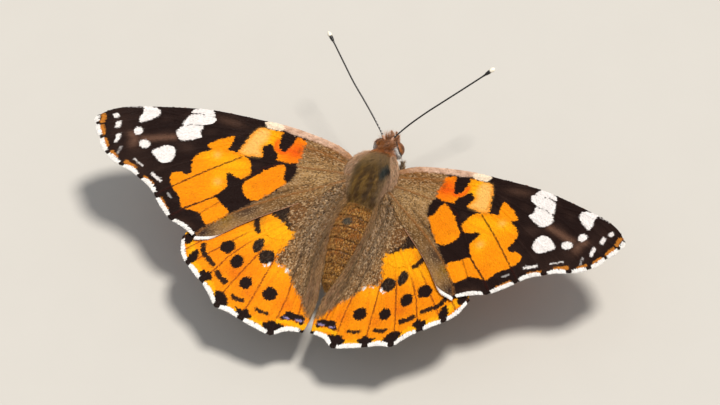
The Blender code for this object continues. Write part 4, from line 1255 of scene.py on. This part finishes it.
def buildBodyCoat(name, shape, material, seed):
    # tufts all over one stretch of the body, lying towards the tail, and on the face forwards and up
    make, rng = bodyCoats[name], np.random.default_rng(seed)
    s, a = rootsOver(bodyPoints, make["rowPitch"], make["pitch"], rng)
    y = bodyPoints(s, a)[:, 1]
    fade = limited(np.minimum(y - make["from"], make["to"] - y) / 0.25)
    keep = (y > make["from"]) & (y < make["to"]) & (rng.random(len(y)) < 0.25 + 0.75 * fade)
    s, a = s[keep], a[keep]
    here = bodyPoints(s, a)
    keep = eyeEdgeDistance(here) > 0.02
    s, a, here = s[keep], a[keep], here[keep]
    count = len(s)
    here, ahead, up = surfaceFrame(bodyPoints, s, np.clip(a, 0.003, 0.997))
    middle = np.stack([0 * s, here[:, 1], np.interp(here[:, 1], bodyLine[:, 0], bodyLine[:, 1])], -1)
    up = facing(up, here - middle)
    side = np.cross(up, ahead)
    drift = 0.3 * ripple(here[:, 0], here[:, 1], 1.2, seed)[:, None]       # hair parts into locks
    forwards = limited((-5.55 - here[:, 1]) / 0.3)[:, None] if name == "head" else 0.0
    lie = ahead * (1 - 2 * forwards) + side * (drift + rng.normal(0, 0.22, count)[:, None]) + up * 0.6 * forwards
    length = rng.uniform(*make["long"], count)
    if name == "thorax":
        length *= np.clip(0.55 + (here[:, 1] + 4.2) / 2.5, 0.5, 1) * np.clip(0.75 + 0.25 * up[:, 2], 0.6, 1)
        lie = lie + np.array([0, 0, 0.12])
    if name == "head":
        length *= 1 + 0.8 * cover(here[:, 2] - 0.9, 0.4)
    lift = length * rng.uniform(*make["lift"], count) * (1 + (name == "head") * 0.4 * cover(here[:, 2] - 0.9, 0.4))
    tones = bodyTones(here, rng)
    uneven = rng.normal(1.0, 0.18, count) + 0.18 * ripple(here[:, 0], here[:, 1], 0.7, seed + 1)
    tones = limited(tones * uneven[:, None])
    places = np.stack([0.01 + 0.98 * s, 0.01 + 0.7 * a], -1)
    makeCoat(f"{name}Coat", shape, here - up * 0.02, lie, up, length, make["wide"] * rng.uniform(0.85, 1.15, count),
             lift, tones, places, material, rootShade=0.55)


buildBodySkin()
buildBodyCoat("thorax", hairs, thoraxHair, 61)
buildBodyCoat("abdomen", blades, bodyScales, 62)
buildBodyCoat("abdomenDown", hairs, thoraxHair, 63)
buildBodyCoat("head", hairs, headHair, 64)
print("body")


# Eyes: a dome of fine facets, a black rim, and white scales behind it

eyeMake = {"reach": (0.004, 0.62), "rows": 64, "around": 72, "rimAt": 0.42, "rim": 0.065}
orbit = {"rows": 24, "around": 48, "rowPitch": 0.05, "pitch": 0.05, "long": (0.2, 0.34), "wide": 0.04,
         "out": [1.18, 1.14, 1.0, 0.7, 0.3], "size": [0.9, 0.985, 1.06, 1.04, 0.8]}


def eyeballPoints(side, s, t):
    # an ellipsoid: s from its outer pole to its inner one, t round it
    polar, turn = math.pi * s, 2 * math.pi * t
    parts = np.stack([np.cos(polar), np.sin(polar) * np.cos(turn), np.sin(polar) * np.sin(turn)], -1)
    return turnedOut(eyeCentre + eyeRadii * parts, side)


def turnedOut(points, side):
    # turns eye parts about the upright line through the eye's centre, so that the dome looks outwards and forwards
    x, y = points[..., 0] - eyeCentre[0], points[..., 1] - eyeCentre[1]
    c, v = math.cos(eyeTurn), math.sin(eyeTurn)
    return np.stack([sides[side] * (eyeCentre[0] + x * c + y * v), eyeCentre[1] + y * c - x * v, points[..., 2]], -1)


def buildEye(side):
    # the dome, darker below and in one patch above, and a rim where it meets the head
    flat, faces = closedShell(lambda s, t: eyeballPoints(side, s, t), *eyeMake["reach"], eyeMake["rows"],
                              eyeMake["around"], mirrored=side == "Right")
    y, z = flat[:, 1], flat[:, 2]
    dark = np.clip((0.3 - z) / 1.2, 0, 0.5) + 0.6 * bell(y + 5.6, 0.35) * bell(z - 0.9, 0.4)
    tones = lay(coatPaint["eye"], np.clip(dark, 0, 0.8), coatPaint["eyeDark"])
    makePiece(f"eye{side}", flat, faces, cornea, tones, replaced=[f"eye_{side.lower()}"])
    rim = eyeballPoints(side, np.full(60, eyeMake["rimAt"]), np.linspace(0, 1, 60))
    flat, faces = capped(*tubeAlong(rim, np.full(60, eyeMake["rim"]), 8))
    makePiece(f"eyeRim{side}", flat, faces, blackCuticle, coatPaint["black"])


def orbitPoints(side, s, t):
    # a short barrel between eye and head: its size is a share of the eye's, t runs round from behind over the top
    stops = [0, 0.08, 0.35, 0.75, 1]
    out, size = np.interp(s, stops, orbit["out"]), np.interp(s, stops, orbit["size"])
    turn = 2 * math.pi * t
    points = np.stack([out + 0 * turn, eyeCentre[1] + eyeRadii[1] * size * np.cos(turn),
                       eyeCentre[2] + eyeRadii[2] * size * np.sin(turn)], -1)
    return turnedOut(points, side)


def buildOrbit(side):
    # white scales behind the eye, brown hair over and before it
    rng = np.random.default_rng(66)

    def surface(s, t):
        return orbitPoints(side, s, t)

    flat, faces = closedShell(surface, 0, 1, orbit["rows"], orbit["around"], mirrored=side == "Right")
    makePiece(f"orbit{side}", flat, faces, cuticle, coatPaint["headBrown"] * 0.5)
    s, t = rootsOver(surface, orbit["rowPitch"], orbit["pitch"], rng)
    s, t = s[s > 0.04], t[s > 0.04]
    here, ahead, up = surfaceFrame(surface, np.clip(s, 0.003, 0.99), np.clip(t, 0.003, 0.997))
    up = facing(up, here - turnedOut(np.array([[0.66, *eyeCentre[1:]]]), side))
    count = len(s)
    turn = (2 * math.pi * t + math.pi) % (2 * math.pi) - math.pi        # 0 behind, a quarter turn up
    white = cover(1.05 - np.abs(turn - 0.2), 0.25) * cover(0.6 - s, 0.15)
    tones = lay(bodyTones(here, rng), white, coatPaint["white"]) * rng.normal(1.0, 0.1, count)[:, None]
    length = rng.uniform(*orbit["long"], count) * (1.9 - 1.0 * white) * (1 + 0.9 * bell(turn - 1.7, 0.7))
    lie = ahead + np.array([0, 0.9, 0.2]) * (1 - 0.8 * white)[:, None] + rng.normal(0, 0.15, (count, 3))
    lie = lie - up * (lie * up).sum(1)[:, None]
    makeCoat(f"orbit{side}Hair", hairs, here - up * 0.01, lie, up, length, orbit["wide"],
             length * rng.uniform(0.1, 0.4, count) * (1.2 - 0.9 * white), limited(tones),
             np.stack([0.01 + 0.98 * s, 0.75 + 0.2 * t], -1), headHair, rootShade=0.75)


cornea = facetedCornea()
blackCuticle = polishedCuticle("blackCuticle", (0.28, 0.45), 0.2)
for side in sides:
    buildEye(side)
    buildOrbit(side)


# Feelers: a thin ringed shaft with pale flecks, and a flattened club with a cream tip

# radii and swellings in millimetres, ringDeep as a share of the radius, places as shares of the length
feeler = {"path": [(0.38, -5.35, 1.0), (0.55, -5.8, 1.6), (1.85, -7.12, 2.5), (3.6, -8.75, 3.35), (5.35, -10.32, 4.0),
                   (7.2, -12.2, 4.45), (8.85, -13.9, 4.85), (9.6, -14.65, 5.1), (10.05, -15.08, 5.28)],
          "shaft": 0.095, "club": 0.22, "tip": 0.05, "foot": 0.09, "ringDeep": 0.14,
          "clubFrom": 0.885, "tipAt": 0.978, "footAt": 0.05, "skinTo": 0.075, "flecksTo": 0.8, "creamFrom": 0.958,
          "rings": 42, "rows": 420, "around": 18}


def buildFeeler(side):
    sign, make = sides[side], feeler
    path = curveThrough(make["path"], make["rows"]) * np.array([sign, 1, 1])
    share = np.linspace(0, 1, make["rows"])
    swell = rising((share - make["clubFrom"]) / 0.05)
    radii = make["shaft"] + (make["club"] - make["shaft"]) * swell + make["tip"] * bell(share - make["tipAt"], 0.014)
    radii = radii * np.sqrt(limited((1.0005 - share) / 0.022))     # round end
    radii = radii + make["foot"] * bell(share - make["footAt"], 0.02)
    phase = share * make["rings"] % 1
    radii = radii * (1 - make["ringDeep"] * bell(np.minimum(phase, 1 - phase), 0.1))
    points, faces = tubeAlong(path, radii, make["around"], flat=0.9)
    flat, faces = capped(points, faces)
    # each ring starts pale on its outer side, as far as the club
    start = (phase < 0.34) & (share < make["flecksTo"])
    lower = np.concatenate([np.repeat(start, make["around"]), [False, False]])
    middle = np.concatenate([np.repeat(path, make["around"], axis=0), path[:1], path[-1:]])
    flecked = lower & ((flat - middle) @ np.array([-0.6 * sign, 0.45, -0.15]) > 0.015)
    far = np.concatenate([np.repeat(share, make["around"]), [0, 1]])
    tones = lay(coatPaint["black"], 0.55 * flecked, coatPaint["white"])
    tones = lay(tones, 0.9 * cover(make["skinTo"] - far, 0.01), coatPaint["headPink"])
    tones = lay(tones, cover(far - make["creamFrom"], 0.012), coatPaint["clubTip"])
    makePiece(f"feeler{side}", flat, faces, blackCuticle, tones, replaced=[f"antenna_{side.lower()}"])


for side in sides:
    buildFeeler(side)


# Tubes as surfaces, so that palps, legs and lappets carry coats too

def tubeSurface(path, radii, flat=1.0):
    points, _ = tubeAlong(path, radii, 24, flat)
    points = np.concatenate([points, points[:, :1]], axis=1)
    rows, columns = points.shape[:2]

    def at(s, t):
        # blend of the four nearest points of the tube's grid
        i, j = limited(s) * (rows - 1), limited(t) * (columns - 1)
        i0, j0 = np.minimum(i.astype(int), rows - 2), np.minimum(j.astype(int), columns - 2)
        u, v = (i - i0)[..., None], (j - j0)[..., None]
        near = points[i0, j0] * (1 - v) + points[i0, j0 + 1] * v
        return near * (1 - u) + (points[i0 + 1, j0] * (1 - v) + points[i0 + 1, j0 + 1] * v) * u
    return at


def tubeCoat(name, path, radii, shape, size, tones, material, seed, flat=1.0, leg=False):
    # tufts over a tube, lying towards its tip; tones is a function of place along the tube and height of the normal
    rng = np.random.default_rng(seed)
    surface = tubeSurface(path, radii, flat)
    s, t = rootsOver(surface, size["rowPitch"], size["pitch"], rng)
    here, ahead, up = surfaceFrame(surface, np.clip(s, 0.003, 0.99), np.clip(t, 0.003, 0.997))
    where = np.linspace(0, 1, len(path))
    middle = np.stack([np.interp(s, where, np.asarray(path)[:, k]) for k in range(3)], -1)
    up = facing(up, here - middle)
    count = len(s)
    lie = ahead + np.cross(up, ahead) * rng.normal(0, 0.25, count)[:, None]
    length = rng.uniform(*size["long"], count)
    colours = limited(tones(s, up, rng) * rng.normal(1, 0.15, count)[:, None])
    makeCoat(name, shape, here - up * 0.01, lie, up, length, size["wide"],
             length * rng.uniform(*size["lift"], count), colours, np.stack([0.01 + 0.98 * s, 0.01 + 0.4 * t], -1),
             material, rootShade=0.6, leg=leg)


palpMake = {"path": [(0.3, -6.0, -0.6), (0.34, -6.4, -0.5), (0.34, -6.75, -0.15), (0.31, -6.98, 0.25),
                     (0.3, -7.08, 0.7)],
            "radii": [0.15, 0.19, 0.2, 0.15, 0.05],
            "coat": {"rowPitch": 0.05, "pitch": 0.045, "long": (0.2, 0.42), "lift": (0.1, 0.35), "wide": 0.026}}


def palpTones(s, up, rng):
    colour = lay(coatPaint["headPink"], np.clip(0.3 + up[:, 1] * 0.6, 0, 0.8), coatPaint["headBrown"])
    colour = lay(colour, np.clip(-up[:, 2] * 0.8, 0, 0.8), coatPaint["white"])
    return speckle(colour, rng, 0.8, coatPaint["black"], coatPaint["white"], 0.14)


def buildPalp(side):
    path = curveThrough(palpMake["path"], 40) * np.array([sides[side], 1, 1])
    radii = np.interp(np.linspace(0, 1, 40), np.linspace(0, 1, 5), palpMake["radii"])
    flat, faces = capped(*tubeAlong(path, radii, 20))
    makePiece(f"palp{side}", flat, faces, cuticle, coatPaint["headBrown"] * 0.6,
              replaced=[f"palp_{side.lower()}"])
    tubeCoat(f"palp{side}Hair", path, radii, hairs, palpMake["coat"], palpTones, headHair, 71)


tongue = {"centre": (-6.25, -2.0), "outer": 0.98, "inner": 0.28, "turns": 2.1, "radius": 0.15, "taper": 0.45,
          "ringDeep": 0.06, "rings": 75, "rows": 260}


def buildTongue():
    # a flat spiral whose two half tubes meet in a groove, with fine rings along it; it hangs from the mouth
    share = np.linspace(0, 1, tongue["rows"])
    angle = math.pi / 2 - share * tongue["turns"] * 2 * math.pi
    far = tongue["outer"] + (tongue["inner"] - tongue["outer"]) * share
    y, z = tongue["centre"]
    path = np.stack([0 * share, y + far * np.cos(angle), z + far * np.sin(angle)], 1)
    lead = curveThrough([(0, -6.05, -0.55), (0, -6.12, -0.9), tuple(path[0])], 14)[:-1]
    path = np.vstack([lead, path])
    share = np.linspace(0, 1, len(path))
    ringed = 1 + tongue["ringDeep"] * np.cos(share * (2 * tongue["rings"]) * math.pi)
    radii = tongue["radius"] * (1 - tongue["taper"] * share) * ringed
    points, faces = tubeAlong(path, radii, 16)
    pinch = 1 - 0.3 * bell(points[..., 0], 0.05)
    middle = path[:, None]
    points = middle + (points - middle) * pinch[..., None]
    flat, faces = capped(points, faces)
    makePiece("tongue", flat, faces, blackCuticle, coatPaint["tongue"], replaced=["proboscis"])


lappets = {
    "tegula": {"path": [(1.15, -3.95, 1.25), (1.6, -3.3, 1.72), (2.1, -2.5, 2.0), (2.55, -1.5, 2.0), (2.75, -0.6, 1.9),
                        (2.75, 0.1, 1.75)],
               "radii": [0.12, 0.26, 0.34, 0.34, 0.28, 0.10],
               "coat": {"rowPitch": 0.08, "pitch": 0.07, "long": (0.45, 0.8), "lift": (0.12, 0.4), "wide": 0.04}},
    "collarPad": {"path": [(0.25, -4.0, 1.35), (0.6, -3.85, 1.5), (1.05, -3.65, 1.45), (1.4, -3.4, 1.15)],
                  "radii": [0.10, 0.26, 0.28, 0.10],
                  "coat": {"rowPitch": 0.07, "pitch": 0.065, "long": (0.3, 0.5), "lift": (0.1, 0.35), "wide": 0.035}},
}


def tegulaTones(s, up, rng):
    colour = lay(coatPaint["pink"], np.clip(s * 0.5 + rng.normal(0, 0.2, len(s)), 0, 0.6), coatPaint["tan"])
    return speckle(colour * 1.2, rng, 0.5, coatPaint["olive"], coatPaint["belly"], 0.18)


def collarTones(s, up, rng):
    colour = lay(coatPaint["collar"], np.clip(rng.normal(0.3, 0.25, len(s)), 0, 0.8), coatPaint["tan"])
    return speckle(colour, rng, 0.6, coatPaint["abdomenDark"], coatPaint["belly"], 0.12)


def buildLappet(kind, side, tones, seed):
    make = lappets[kind]
    path = curveThrough(make["path"], 40) * np.array([sides[side], 1, 1])
    radii = curveThrough(np.stack([np.linspace(0, 1, len(make["radii"])), make["radii"]], 1), 40)[:, 1]
    flat, faces = capped(*tubeAlong(path, radii, 24, flat=0.8))
    makePiece(f"{kind}{side}", flat, faces, cuticle, coatPaint["olive"] * 0.6)
    tubeCoat(f"{kind}{side}Hair", path, radii, hairs, make["coat"], tones, thoraxHair, seed, flat=0.8)


buildTongue()
for side in sides:
    buildPalp(side)
    buildLappet("tegula", side, tegulaTones, 72)
    buildLappet("collarPad", side, collarTones, 73)
print("head")


# Legs: femur, tibia and a five-jointed foot with two claws. Paths are over the floor; knee and ankle count along
# their points.

legs = {
    "midleg": {"path": [(0.7, -0.8, 4.6), (1.15, -1.05, 3.55), (1.8, -1.45, 2.95), (2.6, -1.9, 3.1), (4.6, -2.9, 3.62),
                        (5.55, -3.47, 3.35), (6.3, -3.9, 2.45), (7.0, -4.3, 1.4), (7.7, -4.72, 0.42),
                        (8.2, -5.02, 0.16), (9.0, -5.5, 0.14), (9.95, -6.07, 0.13)],
               "knee": 5, "ankle": 8},
    "hindleg": {"path": [(0.7, 0.9, 4.5), (1.1, 1.35, 3.4), (1.7, 2.0, 2.65), (2.3, 2.7, 2.7), (3.8, 4.6, 3.1),
                         (4.6, 5.6, 2.8), (5.2, 6.5, 2.1), (5.8, 7.4, 1.3), (6.35, 8.3, 0.42),
                         (6.7, 8.95, 0.16), (7.25, 9.9, 0.14), (7.85, 10.95, 0.13)],
                "knee": 4.6, "ankle": 8},
    "foreleg": {"path": [(0.6, -2.5, 4.9), (0.95, -2.7, 3.7), (1.15, -3.2, 2.98), (1.2, -4.2, 3.0), (1.05, -5.3, 3.42)],
                "knee": 3.1, "ankle": 3.6},
}
legMake = {"femur": 0.21, "tibia": 0.155, "foot": 0.115, "toes": 5, "rows": 220, "around": 14,
           "claw": 0.30, "clawThick": 0.045, "spur": 0.34, "spine": 0.17, "spineThick": 0.032, "floorGap": 0.004,
           "coat": {"rowPitch": 0.10, "pitch": 0.075, "long": (0.16, 0.26), "lift": (0.04, 0.16), "wide": 0.07},
           "brush": {"rowPitch": 0.06, "pitch": 0.05, "long": (0.3, 0.6), "lift": (0.2, 0.5), "wide": 0.03}}


def legRadii(share, knee, ankle):
    # femur tapering to the knee, a slimmer tibia that widens to its spurs, and a foot of short joints
    stops = [0, 0.10, 0.2, knee - 0.05, knee, knee + 0.04, ankle - 0.03, ankle, ankle + 0.02, 1]
    wide = [1.3, 1.15, 1.2, 0.95, 0.85, 0.95, 1.15, 1.05, 1.0, 0.85]
    base = np.where(share < knee, legMake["femur"], np.where(share < ankle, legMake["tibia"], legMake["foot"]))
    smooth = np.convolve(np.pad(base, 6, mode="edge"), np.ones(13) / 13, "valid")
    radii = smooth * np.interp(share, stops, wide)
    toe = (share - ankle) / (1 - ankle) * legMake["toes"]
    phase = toe - np.floor(toe)
    notch = np.where(share > ankle, 0.22 * bell(np.minimum(phase, 1 - phase), 0.12), 0)
    knot = 0.12 * bell(share - knee, 0.012)
    return radii * (1 - notch + knot)


def legTones(s, up, rng):
    colour = lay(coatPaint["legPale"], np.clip(up[:, 2] * 0.7, 0, 0.6), coatPaint["legDark"])
    colour = lay(colour, cover(s - 0.74, 0.06) * 0.8, coatPaint["tarsus"])
    return speckle(colour, rng, 0.7, coatPaint["abdomenDark"], coatPaint["belly"], 0.14)


def buildLeg(kind, side):
    make, sign = legs[kind], sides[side]
    path = curveThrough(make["path"], legMake["rows"]) * np.array([sign, 1, 1])
    share = np.linspace(0, 1, len(path))
    reach = np.concatenate([[0], np.cumsum(np.linalg.norm(np.diff(make["path"], axis=0), axis=1))])
    knee, ankle = np.interp([make["knee"], make["ankle"]], np.arange(len(reach)), reach / reach[-1])
    radii = legRadii(share, knee, ankle)
    walks = kind != "foreleg"
    if walks:
        path[:, 2] = np.maximum(path[:, 2], radii + legMake["floorGap"])
    brown = coatPaint["legDark"] + 0.35 * (coatPaint["legPale"] - coatPaint["legDark"])
    parts = [(*capped(*tubeAlong(path, radii, legMake["around"])), brown)]
    rng = np.random.default_rng(81)
    if walks:
        ahead = unit(path[-1] - path[-12])
        aside = np.array([-ahead[1], ahead[0], 0])
        for way in (-1, 1):
            # a claw curves out to its side and down
            bend = np.linspace(0, 1, 12)[:, None]
            claw = path[-1] + ahead * (legMake["claw"] * np.sin(bend * 1.5)) + aside * way * (0.05 + 0.12 * bend)
            claw = claw + np.array([0, 0, 1]) * (0.05 * np.sin(bend * math.pi) - 0.085 * bend)
            thin = legMake["clawThick"] * (1 - 0.8 * bend[:, 0])
            parts.append((*capped(*tubeAlong(claw, thin, 8)), coatPaint["black"]))
        for place in np.concatenate([np.full(2, ankle - 0.01), np.linspace(ankle + 0.03, 0.97, 12),
                                     np.linspace(knee + 0.08, ankle - 0.05, 10)]):
            # spurs at the end of the tibia, and spines below tibia and foot
            at = int(place * (len(path) - 1))
            run = unit(path[min(at + 3, len(path) - 1)] - path[at - 3])
            out = unit(np.cross(run, rng.normal(0, 1, 3)))
            out[2] = -abs(out[2]) if place < ankle else abs(out[2]) * 0.3
            long = legMake["spur" if ankle - 0.02 < place < ankle else "spine"]
            spine = path[at] + np.linspace(0, 1, 5)[:, None] * (0.75 * run + 0.65 * out) * (long + radii[at])
            spine[:, 2] = np.maximum(spine[:, 2], 0.02)
            thin = legMake["spineThick"] * np.linspace(1, 0.15, 5)
            parts.append((*capped(*tubeAlong(spine, thin, 6)), coatPaint["abdomenDark"]))
    points, faces, tones = joined(parts)
    makePiece(f"{kind}{side}", points, faces, legCuticle, tones, replaced=[f"{kind}_{side.lower()}"],
              leg=True)
    shape, size = (blades, legMake["coat"]) if walks else (hairs, legMake["brush"])
    tubeCoat(f"{kind}{side}Scales", path, radii, shape, size, legTones, legScales, 82, leg=True)


legCuticle = polishedCuticle("legCuticle", (0.35, 0.55), 0.12)
legScales = chitinScales("legScales", 1.5, (0.5, 0.7), 0.1)
for kind in legs:
    for side in sides:
        buildLeg(kind, side)
print("legs")
